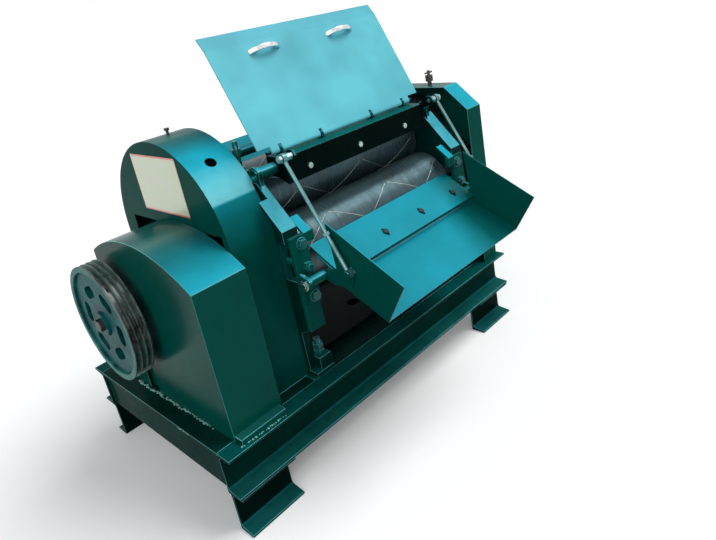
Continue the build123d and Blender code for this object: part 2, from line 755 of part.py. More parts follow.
main_phase = 0.0
main_face = (MAIN_GEAR_START, MAIN_GEAR_WIDTH)
write(
    gear(TOP_AXIS, MAIN_MODULE, MAIN_TEETH, main_phase, main_face, GEAR_SEAT_RADIUS, WEB_HUB, WEB_HOLES),
    "main_gear",
)
pinion_phase = meshed_phase(main_phase, MAIN_TEETH, MAIN_PINION_TEETH, MAIN_LINE_ANGLE)
first_phase = 0.0
input_phase = meshed_phase(first_phase, FIRST_TEETH, FIRST_PINION_TEETH, FIRST_LINE_ANGLE)
first_face = (FIRST_GEAR_START, FIRST_GEAR_WIDTH)
write(
    gear(MIDDLE_AXIS, FIRST_MODULE, FIRST_TEETH, first_phase, first_face, SHAFT_RADIUS, SMALL_HUB, WEB_HOLES),
    "first_gear",
)

with BuildPart() as intermediate_shaft:
    rod(MIDDLE_AXIS, SHAFT_RADIUS, OUTER_PLATE[0] - 4, CHEEK_OUTSIDE - 1)
    with BuildSketch(across(MAIN_GEAR_START - 2)):
        gear_face(MIDDLE_AXIS, MAIN_MODULE, MAIN_PINION_TEETH, pinion_phase)
    extrude(amount=MAIN_GEAR_WIDTH + 4)
write(intermediate_shaft, "intermediate_shaft")

SHAFT_END = -36.0
with BuildPart() as input_shaft:
    rod(INPUT_AXIS, INPUT_RADIUS, SHAFT_END, INNER_PLATE[1] + 4)
    with BuildSketch(across(FIRST_GEAR_START - 2)):
        gear_face(INPUT_AXIS, FIRST_MODULE, FIRST_PINION_TEETH, input_phase)
    extrude(amount=FIRST_GEAR_WIDTH + 4)
    with BuildSketch(across(SHAFT_END)):
        with Locations((INPUT_AXIS[0], INPUT_AXIS[1] + INPUT_RADIUS)):
            Rectangle(10, 10)
    extrude(amount=11, mode=Mode.SUBTRACT)
write(input_shaft, "input_shaft")

# ---------------------------------------------------------------- rollers

SEAT_LEFT = 228.0
SHAFT_RIGHT = 1174.0
JOURNAL = (CHEEK_OUTSIDE - FLANGE_STEP - 1, CHEEK_INSIDE + FLANGE_STEP + 1)


def roller(centre, left_end, ringed):
    """Roller with its shaft. The top one has end rings that overlap the lower rollers' ends."""
    left, right = MIDDLE - ROLLER_HALF, MIDDLE + ROLLER_HALF
    with BuildPart() as piece:
        profile = [(left_end, 0), (left_end, GEAR_SEAT_RADIUS), (JOURNAL[0], GEAR_SEAT_RADIUS)]
        profile += [(JOURNAL[0], JOURNAL_RADIUS), (JOURNAL[1], JOURNAL_RADIUS), (JOURNAL[1], 45)]
        if ringed:
            profile += [(MIDDLE - RING_HALF[1], 45), (MIDDLE - RING_HALF[1], RING_RADIUS)]
            profile += [(MIDDLE - RING_HALF[0], RING_RADIUS), (MIDDLE - RING_HALF[0], ROLLER_RADIUS)]
            profile += [(MIDDLE + RING_HALF[0], ROLLER_RADIUS), (MIDDLE + RING_HALF[0], RING_RADIUS)]
            profile += [(MIDDLE + RING_HALF[1], RING_RADIUS), (MIDDLE + RING_HALF[1], 45)]
        else:
            profile += [(left, 45), (left, ROLLER_RADIUS), (right, ROLLER_RADIUS), (right, 45)]
        profile += [(mirrored(JOURNAL[1]), 45), (mirrored(JOURNAL[1]), JOURNAL_RADIUS)]
        profile += [(mirrored(JOURNAL[0]), JOURNAL_RADIUS), (mirrored(JOURNAL[0]), GEAR_SEAT_RADIUS)]
        profile += [(SHAFT_RIGHT, GEAR_SEAT_RADIUS), (SHAFT_RIGHT, 0)]
        spun(centre, *profile)
    return piece


write(roller(TOP_AXIS, SEAT_LEFT, True), "top_roller")
write(roller(FRONT_AXIS, JOURNAL[0] - 4, False), "front_roller")
write(roller(REAR_AXIS, JOURNAL[0] - 4, False), "rear_roller")

# ---------------------------------------------------------------- drive pulley

HUB_RADIUS = 36.0
RIM_INSIDE = PULLEY_RADIUS - GROOVE_DEPTH - 9
WEB = (-8.0, 6.0)
PULLEY_END = PULLEY_START + PULLEY_WIDTH


def groove(middle):
    return (
        (middle + GROOVE_MOUTH / 2, PULLEY_RADIUS),
        (middle + GROOVE_FLOOR / 2, PULLEY_RADIUS - GROOVE_DEPTH),
        (middle - GROOVE_FLOOR / 2, PULLEY_RADIUS - GROOVE_DEPTH),
        (middle - GROOVE_MOUTH / 2, PULLEY_RADIUS),
    )


with BuildPart() as drive_pulley:
    rim_profile = [(PULLEY_START, INPUT_RADIUS), (PULLEY_START, HUB_RADIUS - 4), (WEB[0], HUB_RADIUS)]
    rim_profile += [(WEB[0], RIM_INSIDE), (PULLEY_START, RIM_INSIDE + 4), (PULLEY_START, PULLEY_RADIUS)]
    rim_profile += [point for turn in (-1, 0, 1) for point in reversed(groove(turn * GROOVE_PITCH))]
    rim_profile += [(PULLEY_END, PULLEY_RADIUS), (PULLEY_END, RIM_INSIDE + 4), (WEB[1], RIM_INSIDE)]
    rim_profile += [(WEB[1], HUB_RADIUS), (PULLEY_END, HUB_RADIUS - 4), (PULLEY_END, INPUT_RADIUS)]
    spun(INPUT_AXIS, *rim_profile)
    with BuildSketch(across(WEB[0] - 1)):
        with Locations(INPUT_AXIS):
            with PolarLocations((HUB_RADIUS + RIM_INSIDE) / 2, PULLEY_HOLES, start_angle=8):
                SlotOverall(62, 34, rotation=90)
    extrude(amount=WEB[1] - WEB[0] + 2, mode=Mode.SUBTRACT)
write(drive_pulley, "drive_pulley")

# ---------------------------------------------------------------- sheet covers


def arc_height(depth, inset=0.0):
    """Height of the small cover's roof over a depth, or of its inner face."""
    radius = SMALL_COVER_RADIUS - inset
    return SMALL_COVER_CENTRE[1] + sqrt(radius**2 - (depth - SMALL_COVER_CENTRE[0]) ** 2)


def small_cover_face(inset):
    front, rear = SMALL_COVER_Y[0] + inset, SMALL_COVER_Y[1] - inset
    bottom = BASE_TOP - (1 if inset else 0)
    eave_front, eave_rear = arc_height(front, inset), arc_height(rear, inset)
    with BuildLine() as path:
        Polyline((front, eave_front), (front, bottom), (rear, bottom), (rear, eave_rear))
        ThreePointArc(
            (rear, eave_rear),
            (SMALL_COVER_CENTRE[0], arc_height(SMALL_COVER_CENTRE[0], inset)),
            (front, eave_front),
        )
    make_face(path.line)


SLOT_HALF = 26.5
FOOT_ANGLE_DEPTH = 29.0
FOOT_ANGLE_HEIGHT = 16.0
with BuildPart() as small_gear_cover:
    start, end = SMALL_COVER_X
    with BuildSketch(across(start)):
        small_cover_face(0)
    extrude(amount=end - start)
    with BuildSketch(across(start + SHEET)):
        small_cover_face(SHEET)
    extrude(amount=end - start, mode=Mode.SUBTRACT)
    with BuildSketch(across(start - 1)):
        between((INPUT_AXIS[0] - SLOT_HALF, BASE_TOP - 1), (INPUT_AXIS[0] + SLOT_HALF, INPUT_AXIS[1]))
        with Locations(INPUT_AXIS):
            Circle(SLOT_HALF)
    extrude(amount=SHEET + 2, mode=Mode.SUBTRACT)
    front = SMALL_COVER_Y[0]
    lip = front - FOOT_ANGLE_DEPTH
    with BuildSketch(across(start + 2)):
        between((lip, BASE_TOP + FOOT_ANGLE_HEIGHT - SHEET), (front, BASE_TOP + FOOT_ANGLE_HEIGHT))
        between((lip, BASE_TOP), (lip + SHEET, BASE_TOP + FOOT_ANGLE_HEIGHT))
    extrude(amount=138)
write(small_gear_cover, "small_gear_cover")


def main_cover_face(inset):
    depth, height = MAIN_COVER_CENTRE
    radius = MAIN_COVER_RADIUS - inset
    bottom = BASE_TOP - (1 if inset else 0)
    with BuildLine() as path:
        left, right = depth - radius, depth + radius
        Polyline((left, height), (left, bottom), (right, bottom), (right, height))
        ThreePointArc((right, height), (depth, height + radius), (left, height))
    make_face(path.line)


MAIN_COVER_FRONT = MAIN_COVER_CENTRE[0] - MAIN_COVER_RADIUS
WINDOW_Y = (120.0, 582.0)
WINDOW_TOP = 707.0
OIL_HOLE_DEPTH = 193.6
OIL_HOLE_RADIUS = 15.0
with BuildPart() as main_gear_cover:
    start, end = MAIN_COVER_X
    with BuildSketch(across(start)):
        main_cover_face(0)
    extrude(amount=end - start)
    with BuildSketch(across(start + SHEET)):
        main_cover_face(SHEET)
    extrude(amount=end - start - 2 * SHEET, mode=Mode.SUBTRACT)
    with BuildSketch(across(start - 1)):
        between((WINDOW_Y[0], BASE_TOP - 1), (WINDOW_Y[1], WINDOW_TOP))
    extrude(amount=SHEET + 2, mode=Mode.SUBTRACT)
    with BuildSketch(across(end - SHEET - 1)):
        outline(
            (MAIN_COVER_FRONT + SHEET, BASE_TOP - 1),
            (MAIN_COVER_FRONT + SHEET, CHEEK_TOP - 28),
            (SHOULDER_FRONT - 1, CHEEK_TOP + 3),
            (SHOULDER_REAR + 2, CHEEK_TOP + 3),
            (CHEEK_REAR + 4, CHEEK_SHOULDER + 2),
            (CHEEK_REAR + 20, CHEEK_SHOULDER - 10),
            (CHEEK_REAR + 20, BASE_TOP - 1),
        )
    extrude(amount=SHEET + 2, mode=Mode.SUBTRACT)
    away = (OIL_HOLE_DEPTH - MAIN_COVER_CENTRE[0]) / MAIN_COVER_RADIUS
    rise = sqrt(1 - away**2)
    middle_x = (start + end) / 2
    roof = Plane(
        origin=(
            LEFT_END + middle_x,
            FRONT_EDGE + MAIN_COVER_CENTRE[0] + away * (MAIN_COVER_RADIUS + 5),
            MAIN_COVER_CENTRE[1] + rise * (MAIN_COVER_RADIUS + 5),
        ),
        x_dir=(1, 0, 0),
        z_dir=(0, away, rise),
    )
    with BuildSketch(roof):
        Circle(OIL_HOLE_RADIUS)
    extrude(amount=-20, mode=Mode.SUBTRACT)
write(main_gear_cover, "main_gear_cover")


def right_cover_face(inset):
    rear = 2 * TOP_AXIS[0] - RIGHT_COVER_FRONT
    bottom = BASE_TOP - (1 if inset else 0)
    bend = inset * tan(radians(24))
    outline(
        (RIGHT_COVER_FRONT + inset, bottom),
        (RIGHT_COVER_FRONT + inset, RIGHT_COVER_SHOULDER - bend),
        (RIGHT_COVER_FRONT + RIGHT_COVER_RUN + bend, RIGHT_COVER_TOP - inset),
        (rear - RIGHT_COVER_RUN - bend, RIGHT_COVER_TOP - inset),
        (rear - inset, RIGHT_COVER_SHOULDER - bend),
        (rear - inset, bottom),
    )


with BuildPart() as roller_gear_cover:
    start, end = RIGHT_COVER_X
    with BuildSketch(across(start)):
        right_cover_face(0)
    extrude(amount=end - start)
    with BuildSketch(across(start - 1)):
        right_cover_face(SHEET)
    extrude(amount=end - start - SHEET + 1, mode=Mode.SUBTRACT)
write(roller_gear_cover, "roller_gear_cover")

LABEL_Y = (246.0, 480.0)
LABEL_Z = (740.0, 898.0)
LABEL_THICKNESS = 1.5
with BuildPart() as label_plate:
    with BuildSketch(across(MAIN_COVER_X[0] - LABEL_THICKNESS)):
        between((LABEL_Y[0], LABEL_Z[0]), (LABEL_Y[1], LABEL_Z[1]))
    extrude(amount=LABEL_THICKNESS)
write(label_plate, "label_plate")

OILER_TOP = MAIN_COVER_CENTRE[1] + MAIN_COVER_RADIUS
with BuildPart() as cover_oiler:
    spot = [(267.0, MAIN_COVER_CENTRE[0])]
    round_on(level(OILER_TOP), spot, 4, 12)
    hexagon_on(level(OILER_TOP + 12), spot, 8, 6)
write(cover_oiler, "cover_oiler")

OIL_CUP = (1146.0, 190.0)
with BuildPart() as oil_cup:
    round_on(level(RIGHT_COVER_TOP), [OIL_CUP], 7, 14)
    round_on(level(RIGHT_COVER_TOP + 14), [OIL_CUP], 13, 20)
    round_on(level(RIGHT_COVER_TOP + 34), [OIL_CUP], 5, 16)
    with BuildSketch(level(RIGHT_COVER_TOP + 40)):
        with Locations(OIL_CUP):
            Rectangle(36, 6)
    extrude(amount=5)
write(oil_cup, "oil_cup")

# ---------------------------------------------------------------- tie tubes, guard and lid

TUBE_END = 334.0
for name, centre in (("front_tie_tube", FRONT_TUBE), ("rear_tie_tube", REAR_TUBE)):
    with BuildPart() as tube:
        with BuildSketch(across(TUBE_END)):
            with Locations(centre):
                Circle(TUBE_RADIUS)
                Circle(TUBE_RADIUS - 4, mode=Mode.SUBTRACT)
        extrude(amount=mirrored(TUBE_END) - TUBE_END)
    write(tube, name)

END_PLATE = 6.0
PIN_RADIUS = 6.0
GUARD_BOLT_X = (477.0, 666.0, 860.0)
GUARD_BOLT_Z = 804.0
LUG_WIDTH = 8.0
LUGS_X = (432.0, 576.0, 777.0, 921.0)
with BuildPart() as guard_angle:
    start, end = GUARD_X
    with BuildSketch(across(start)):
        between((GUARD_FRONT, GUARD_TOP - GUARD_THICKNESS), (GUARD_FRONT + GUARD_LEG, GUARD_TOP))
        between((GUARD_FRONT, GUARD_TOP - GUARD_LEG), (GUARD_FRONT + GUARD_THICKNESS, GUARD_TOP))
    extrude(amount=end - start)
    for plate in (start - END_PLATE, end):
        with BuildSketch(across(plate)):
            outline(
                (GUARD_FRONT, GUARD_TOP - GUARD_LEG),
                (GUARD_FRONT - 4, GUARD_TOP - 12),
                (STAY_TOP[0] - 6, STAY_TOP[1] - 14),
                (STAY_TOP[0] - 14, STAY_TOP[1]),
                (STAY_TOP[0] - 6, STAY_TOP[1] + 13),
                (STAY_TOP[0] + 10, STAY_TOP[1] + 13),
                (GUARD_FRONT + 10, GUARD_TOP),
                (FRONT_TUBE[0] + TUBE_SEAT[1] + 3, GUARD_TOP),
                (FRONT_TUBE[0] + TUBE_SEAT[1] + 3, FRONT_TUBE[1] - TUBE_SEAT[1]),
                (FRONT_TUBE[0] - TUBE_SEAT[1], FRONT_TUBE[1] - TUBE_SEAT[1] - 7),
            )
            with Locations(STAY_TOP):
                Circle(PIN_RADIUS + FIT, mode=Mode.SUBTRACT)
            with Locations(FRONT_TUBE):
                Circle(TUBE_RADIUS + FIT, mode=Mode.SUBTRACT)
        extrude(amount=END_PLATE)
    for lug in LUGS_X:
        with BuildSketch(across(lug)):
            outline(
                (HINGE[0] - 14, GUARD_TOP),
                (HINGE[0] - 7, HINGE[1] + 6),
                (HINGE[0] + 7, HINGE[1] + 6),
                (HINGE[0] + 14, GUARD_TOP),
            )
        extrude(amount=LUG_WIDTH)
    rod(HINGE, HINGE_RADIUS, LUGS_X[0] - 40, LUGS_X[-1] + LUG_WIDTH + 40)
    with BuildSketch(facing(GUARD_FRONT + GUARD_THICKNESS)):
        with Locations(*[(x, GUARD_BOLT_Z) for x in GUARD_BOLT_X]):
            Circle(5 + FIT)
    extrude(amount=GUARD_THICKNESS, mode=Mode.SUBTRACT)
write(guard_angle, "guard_angle")

GUARD_PLATE = 4.0
with BuildPart() as guard_plate:
    inner = GUARD_FRONT + GUARD_THICKNESS
    with BuildSketch(across(GUARD_X[0] + 4)):
        outline(
            (inner, 786),
            (inner, 807),
            (inner + GUARD_PLATE, 807),
            (inner + GUARD_PLATE, 789),
            (172, 784),
            (172, 780),
        )
    extrude(amount=GUARD_X[1] - GUARD_X[0] - 8)
write(guard_plate, "guard_plate")

with BuildPart() as guard_bolts:
    places = [(x, GUARD_BOLT_Z) for x in GUARD_BOLT_X]
    hexagon_on(facing(GUARD_FRONT), places, 9, 6)
    round_on(facing(GUARD_FRONT + GUARD_THICKNESS), places, 5, GUARD_THICKNESS)
write(guard_bolts, "guard_bolts")

lean = radians(LID_LEAN)
up_lid = (sin(lean), cos(lean))
out_lid = (-cos(lean), sin(lean))


def on_lid(reach, rise):
    """Depth and height of a point a reach from the hinge along the lid, and a rise from its plane."""
    return (
        HINGE[0] + reach * up_lid[0] + rise * out_lid[0],
        HINGE[1] + reach * up_lid[1] + rise * out_lid[1],
    )


LID_BACK = KNUCKLE_RADIUS - SHEET
lip = (cos(radians(LIP_BEND)) * LID_LIP, sin(radians(LIP_BEND)) * LID_LIP)
KNUCKLES = ((404.0, 431.0), (441.0, 575.0), (585.0, 776.0), (786.0, 920.0), (930.0, 957.0))
with BuildPart() as lid:
    with BuildSketch(across(LID_X[0])):
        outline(
            on_lid(12, LID_BACK),
            on_lid(12, KNUCKLE_RADIUS),
            on_lid(LID_LENGTH, KNUCKLE_RADIUS),
            on_lid(LID_LENGTH + lip[0], KNUCKLE_RADIUS - lip[1]),
            on_lid(LID_LENGTH + lip[0] - 1.1, LID_BACK - lip[1] + 0.2),
            on_lid(LID_LENGTH - 0.6, LID_BACK),
        )
    extrude(amount=LID_X[1] - LID_X[0])
    for start, end in KNUCKLES:
        with BuildSketch(across(start)):
            outline(
                on_lid(0, KNUCKLE_RADIUS),
                on_lid(14, KNUCKLE_RADIUS),
                on_lid(14, LID_BACK),
                on_lid(0, LID_BACK),
            )
            with Locations(HINGE):
                Circle(KNUCKLE_RADIUS)
                Circle(HINGE_RADIUS + FIT, mode=Mode.SUBTRACT)
        extrude(amount=end - start)
write(lid, "lid")

HANDLE_LENGTH = 108.0
HANDLE_RISE = 27.0
HANDLE_WIDTH = 14.0
with BuildPart() as lid_handles:
    for side in (-1, 1):
        depth, height = on_lid(HANDLE_REACH, KNUCKLE_RADIUS)
        grip = Plane(
            origin=(LEFT_END + MIDDLE + side * HANDLE_OFFSET, FRONT_EDGE + depth, height),
            x_dir=(1, 0, 0),
            z_dir=(0, -up_lid[0], -up_lid[1]),
        )
        with BuildSketch(grip.offset(-HANDLE_WIDTH / 2)):
            half = HANDLE_LENGTH / 2
            with BuildLine():
                Polyline((-half, 0), (-half + 24, 0), (-half + 26, 12))
                ThreePointArc((-half + 26, 12), (0, 19), (half - 26, 12))
                Polyline((half - 26, 12), (half - 24, 0), (half, 0), (half - 10, 12))
                ThreePointArc((half - 10, 12), (0, HANDLE_RISE), (-half + 10, 12))
                Line((-half + 10, 12), (-half, 0))
            make_face()
        extrude(amount=HANDLE_WIDTH)
write(lid_handles, "lid_handles")

# ---------------------------------------------------------------- discharge chute

ARM_X = (382.5, 387.0)
BOSS_X = (333.5, 382.5)
BOSS_RADIUS = 14.0
STUD_PIN_RADIUS = 5.0
floor_run = (CHUTE_BACK_LOW[0] - CHUTE_FRONT_LOW[0], CHUTE_BACK_LOW[1] - CHUTE_FRONT_LOW[1])
floor_size = hypot(*floor_run)
floor_up = (-floor_run[1] / floor_size, floor_run[0] / floor_size)
scraper_run = (SCRAPER_EDGE[0] - SCRAPER_FRONT[0], SCRAPER_EDGE[1] - SCRAPER_FRONT[1])
scraper_size = hypot(*scraper_run)
scraper_along = (scraper_run[0] / scraper_size, scraper_run[1] / scraper_size)
scraper_down = (scraper_along[1], -scraper_along[0])


def on_scraper(reach, drop):
    """Depth and height of a point along the scraper's top face, and a drop below it."""
    return (
        SCRAPER_FRONT[0] + reach * scraper_along[0] + drop * scraper_down[0],
        SCRAPER_FRONT[1] + reach * scraper_along[1] + drop * scraper_down[1],
    )


def raised(point, rise):
    return (point[0] + rise * floor_up[0], point[1] + rise * floor_up[1])


LEDGE = 4.0
LEDGE_REACH = 88.0
SCRAPER_X = (CHUTE_X[0] + SHEET + 0.5, CHUTE_X[1] - SHEET - 0.5)
SLOT_REACH = 46.0
SCRAPER_BOLT_X = (446.0, 602.0, 759.0, 915.0)
with BuildPart() as discharge_chute:
    start, end = CHUTE_X
    for wall in (start, end - SHEET):
        with BuildSketch(across(wall)):
            outline(CHUTE_FRONT_TOP, CHUTE_FRONT_LOW, CHUTE_BACK_LOW, CHUTE_BACK_TOP)
        extrude(amount=SHEET)
    with BuildSketch(across(start)):
        outline(
            CHUTE_FRONT_LOW,
            CHUTE_BACK_LOW,
            on_scraper(20, SCRAPER_THICKNESS + LEDGE),
            on_scraper(LEDGE_REACH, SCRAPER_THICKNESS + LEDGE),
            on_scraper(LEDGE_REACH, SCRAPER_THICKNESS),
            on_scraper(8, SCRAPER_THICKNESS),
            raised(CHUTE_BACK_LOW, SHEET),
            raised(CHUTE_FRONT_LOW, SHEET),
        )
    extrude(amount=end - start)
    for right in (False, True):
        low, high = span(*ARM_X, right)
        with BuildSketch(across(low)):
            outline(
                (CHUTE_PIVOT[0] - 4, CHUTE_PIVOT[1] + 13),
                (STAY_LOW[0] + 4, STAY_LOW[1] + 12),
                (STAY_LOW[0] - 12, STAY_LOW[1]),
                (STAY_LOW[0] + 10, STAY_LOW[1] - 46),
                (CHUTE_PIVOT[0] - 40, CHUTE_PIVOT[1] - 22),
                (CHUTE_PIVOT[0] - 4, CHUTE_PIVOT[1] - 13),
            )
            with Locations(CHUTE_PIVOT):
                Circle(BOSS_RADIUS)
        extrude(amount=high - low)
        low, high = span(*BOSS_X, right)
        rod(CHUTE_PIVOT, BOSS_RADIUS, low, high)
        low, high = span(BOSS_X[0], ARM_X[1], right)
        rod(CHUTE_PIVOT, PIVOT_RADIUS + FIT, low, high, Mode.SUBTRACT)
        low, high = span(STAY_PLANE - 8, ARM_X[0], right)
        rod(STAY_LOW, STUD_PIN_RADIUS, low, high)
        low, high = span(STAY_PLANE - 12, STAY_PLANE - 8, right)
        rod(STAY_LOW, STUD_PIN_RADIUS + 5, low, high)
    slope = Plane(
        origin=(LEFT_END, FRONT_EDGE + SCRAPER_FRONT[0], SCRAPER_FRONT[1]),
        x_dir=(1, 0, 0),
        z_dir=(0, -scraper_down[0], -scraper_down[1]),
    )
    with BuildSketch(slope):
        with Locations(*[(x, SLOT_REACH) for x in SCRAPER_BOLT_X]):
            Circle(5 + FIT)
    extrude(amount=-20, mode=Mode.SUBTRACT)
write(discharge_chute, "discharge_chute")

with BuildPart() as scraper_plate:
    with BuildSketch(across(SCRAPER_X[0])):
        outline(
            on_scraper(0, 0),
            on_scraper(scraper_size, 0),
            on_scraper(scraper_size - 9, SCRAPER_THICKNESS),
            on_scraper(0, SCRAPER_THICKNESS),
        )
    extrude(amount=SCRAPER_X[1] - SCRAPER_X[0])
    with BuildSketch(slope):
        with Locations(*[(x, SLOT_REACH) for x in SCRAPER_BOLT_X]):
            SlotOverall(30, 11, rotation=90)
    extrude(amount=-SCRAPER_THICKNESS - 1, mode=Mode.SUBTRACT)
write(scraper_plate, "scraper_plate")

with BuildPart() as scraper_bolts:
    spots = [(x, SLOT_REACH) for x in SCRAPER_BOLT_X]
    round_on(slope.offset(-SCRAPER_THICKNESS - LEDGE - 6), spots, 5, SCRAPER_THICKNESS + LEDGE + 6)
    hexagon_on(slope, spots, 9, 5)
write(scraper_bolts, "scraper_bolts")

# ---------------------------------------------------------------- stays and pivot bolts

stay_run = (STAY_LOW[0] - STAY_TOP[0], STAY_LOW[1] - STAY_TOP[1])
stay_size = hypot(*stay_run)
stay_along = (stay_run[0] / stay_size, stay_run[1] / stay_size)
EYE_HALF = 6.0
EYE_RADIUS = 12.0
OPEN_PIVOT_GAP = 0.6


def stay_plane(reach, right):
    """Plane square to a stay at a reach below its upper pivot."""
    x = mirrored(STAY_PLANE) if right else STAY_PLANE
    return Plane(
        origin=(
            LEFT_END + x,
            FRONT_EDGE + STAY_TOP[0] + reach * stay_along[0],
            STAY_TOP[1] + reach * stay_along[1],
        ),
        x_dir=(1, 0, 0),
        z_dir=(0, stay_along[0], stay_along[1]),
    )


def along_stay(start, end, radius, right, mode=Mode.ADD):
    with BuildSketch(stay_plane(start, right)) as face:
        Circle(radius)
    extrude(face.sketch, amount=end - start, mode=mode)


for right, hand in ((False, "left"), (True, "right")):
    low, high = span(STAY_PLANE - EYE_HALF, STAY_PLANE + EYE_HALF, right)
    with BuildPart() as stay_rod:
        rod(STAY_TOP, EYE_RADIUS, low, high)
        along_stay(8, 286, STAY_RADIUS, right)
        with BuildSketch(stay_plane(SLEEVE_START - 24, right)):
            RegularPolygon(9, 6)
        extrude(amount=8)
        rod(STAY_TOP, PIN_RADIUS + FIT, low, high, Mode.SUBTRACT)
    write(stay_rod, f"{hand}_stay_rod")
    with BuildPart() as sleeve:
        along_stay(SLEEVE_START, stay_size - 8, SLEEVE_RADIUS, right)
        along_stay(SLEEVE_START - 1, 300, STAY_RADIUS + FIT, right, Mode.SUBTRACT)
        rod(STAY_LOW, EYE_RADIUS, low, high)
        rod(STAY_LOW, STUD_PIN_RADIUS + OPEN_PIVOT_GAP, low, high, Mode.SUBTRACT)
    write(sleeve, f"{hand}_stay_sleeve")

with BuildPart() as pivot_bolts:
    for right in (False, True):
        low, high = span(310, 386, right)
        rod(CHUTE_PIVOT, PIVOT_RADIUS, low, high)
        nut_low, nut_high = span(312, 322, right)
        with BuildSketch(across(nut_low)):
            with Locations(CHUTE_PIVOT):
                RegularPolygon(15, 6)
        extrude(amount=nut_high - nut_low)
        low, high = span(STAY_PLANE - 18, GUARD_X[0] + 4, right)
        rod(STAY_TOP, PIN_RADIUS, low, high)
        outer_nut = (STAY_PLANE - 16, STAY_PLANE - EYE_HALF - 1)
        inner_nut = (STAY_PLANE + EYE_HALF + 1, GUARD_X[0] - END_PLATE)
        for nut in (outer_nut, inner_nut):
            nut_low, nut_high = span(*nut, right)
            with BuildSketch(across(nut_low)):
                with Locations(STAY_TOP):
                    RegularPolygon(10, 6)
            extrude(amount=nut_high - nut_low)
write(pivot_bolts, "pivot_bolts")

# ---------------------------------------------------------------- turn plate, juice pan and feed tray

TURN_GAP = 6.0
TURN_REACH = 36.0
TURN_NECK = 606.0
TURN_LOW = 555.0
with BuildPart() as turn_plate:
    depth, height = TOP_AXIS
    radius = ROLLER_RADIUS + TURN_GAP
    saddle = height - sqrt(radius**2 - TURN_REACH**2)
    with BuildSketch(across(MIDDLE - ROLLER_HALF)):
        with BuildLine():
            Polyline((depth + TURN_REACH, saddle), (depth + 11, TURN_NECK), (depth - 11, TURN_NECK))
            Line((depth - 11, TURN_NECK), (depth - TURN_REACH, saddle))
            ThreePointArc(
                (depth - TURN_REACH, saddle), (depth, height - radius), (depth + TURN_REACH, saddle)
            )
        make_face()
    extrude(amount=2 * ROLLER_HALF)
    with BuildSketch(across(CHEEK_INSIDE)):
        outline(
            (depth - 11, TURN_NECK), (depth - 14, TURN_LOW), (depth + 14, TURN_LOW), (depth + 11, TURN_NECK)
        )
    extrude(amount=mirrored(CHEEK_INSIDE) - CHEEK_INSIDE)
write(turn_plate, "turn_plate")

PAN_X = 400.0
PAN_Y = (130.0, 480.0)
PAN_RIM = 18.0
PIPE_LOW = 150.0
with BuildPart() as juice_pan:
    start, end = PAN_X, mirrored(PAN_X)
    block((start, PAN_Y[0], BASE_TOP), (end, PAN_Y[1], BASE_TOP + PAN_RIM))
    with BuildSketch(level(BASE_TOP + SHEET)):
        between((start + SHEET, PAN_Y[0] + SHEET), (end - SHEET, PAN_Y[1] - SHEET))
    extrude(amount=PAN_RIM, mode=Mode.SUBTRACT)
    with BuildSketch(level(BASE_TOP - 1)):
        with Locations(OUTLET):
            Circle(PIPE_RADIUS - SHEET)
    extrude(amount=SHEET + 2, mode=Mode.SUBTRACT)
write(juice_pan, "juice_pan")

with BuildPart() as drain_pipe:
    with BuildSketch(level(PIPE_LOW)):
        with Locations(OUTLET):
            Circle(PIPE_RADIUS)
            Circle(PIPE_RADIUS - SHEET, mode=Mode.SUBTRACT)
    extrude(amount=BASE_TOP - PIPE_LOW)
write(drain_pipe, "drain_pipe")

TRAY_LOW = (474.0, 664.0)
TRAY_HIGH = (756.0, 778.0)
TRAY_WALL = 84.0
with BuildPart() as feed_tray:
    start, end = CHEEK_INSIDE, mirrored(CHEEK_INSIDE)
    for wall in (start, end - SHEET):
        with BuildSketch(across(wall)):
            outline(
                (TRAY_LOW[0] - 24, TRAY_LOW[1] - 10),
                TRAY_LOW,
                TRAY_HIGH,
                (TRAY_HIGH[0], TRAY_HIGH[1] + TRAY_WALL),
                (TRAY_LOW[0] + 30, TRAY_LOW[1] + 110),
                (TRAY_LOW[0] - 24, TRAY_LOW[1] + 96),
            )
        extrude(amount=SHEET)
    with BuildSketch(across(start)):
        outline(
            TRAY_LOW,
            (TRAY_LOW[0], TRAY_LOW[1] + SHEET),
            (TRAY_HIGH[0], TRAY_HIGH[1] + SHEET),
            TRAY_HIGH,
        )
    extrude(amount=end - start)
write(feed_tray, "feed_tray")
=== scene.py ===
import json
import math
import random

import bmesh
import bpy
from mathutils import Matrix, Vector


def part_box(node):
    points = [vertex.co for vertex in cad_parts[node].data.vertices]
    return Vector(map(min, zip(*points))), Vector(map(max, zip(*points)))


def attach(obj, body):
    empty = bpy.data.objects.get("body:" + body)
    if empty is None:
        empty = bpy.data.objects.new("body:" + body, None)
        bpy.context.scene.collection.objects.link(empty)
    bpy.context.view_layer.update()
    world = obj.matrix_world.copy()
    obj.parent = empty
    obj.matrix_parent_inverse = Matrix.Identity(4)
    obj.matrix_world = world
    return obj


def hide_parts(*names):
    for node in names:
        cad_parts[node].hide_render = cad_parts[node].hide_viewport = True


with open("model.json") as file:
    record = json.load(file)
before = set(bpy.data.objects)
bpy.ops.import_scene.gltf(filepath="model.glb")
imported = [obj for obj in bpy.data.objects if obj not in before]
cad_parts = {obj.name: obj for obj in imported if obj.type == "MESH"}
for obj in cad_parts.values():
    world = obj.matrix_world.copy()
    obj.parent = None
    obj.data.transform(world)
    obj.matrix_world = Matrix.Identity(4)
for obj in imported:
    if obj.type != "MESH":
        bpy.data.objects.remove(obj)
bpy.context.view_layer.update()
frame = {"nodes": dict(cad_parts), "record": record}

bl_info = {
    "name": "Cane mill finish",
    "version": (1, 0, 0),
    "blender": (4, 5, 0),
    "location": "3D View > Sidebar > Cane mill",
    "description": "Paints, welds, fasteners and stage for a three-roller cane mill",
    "category": "Object",
}

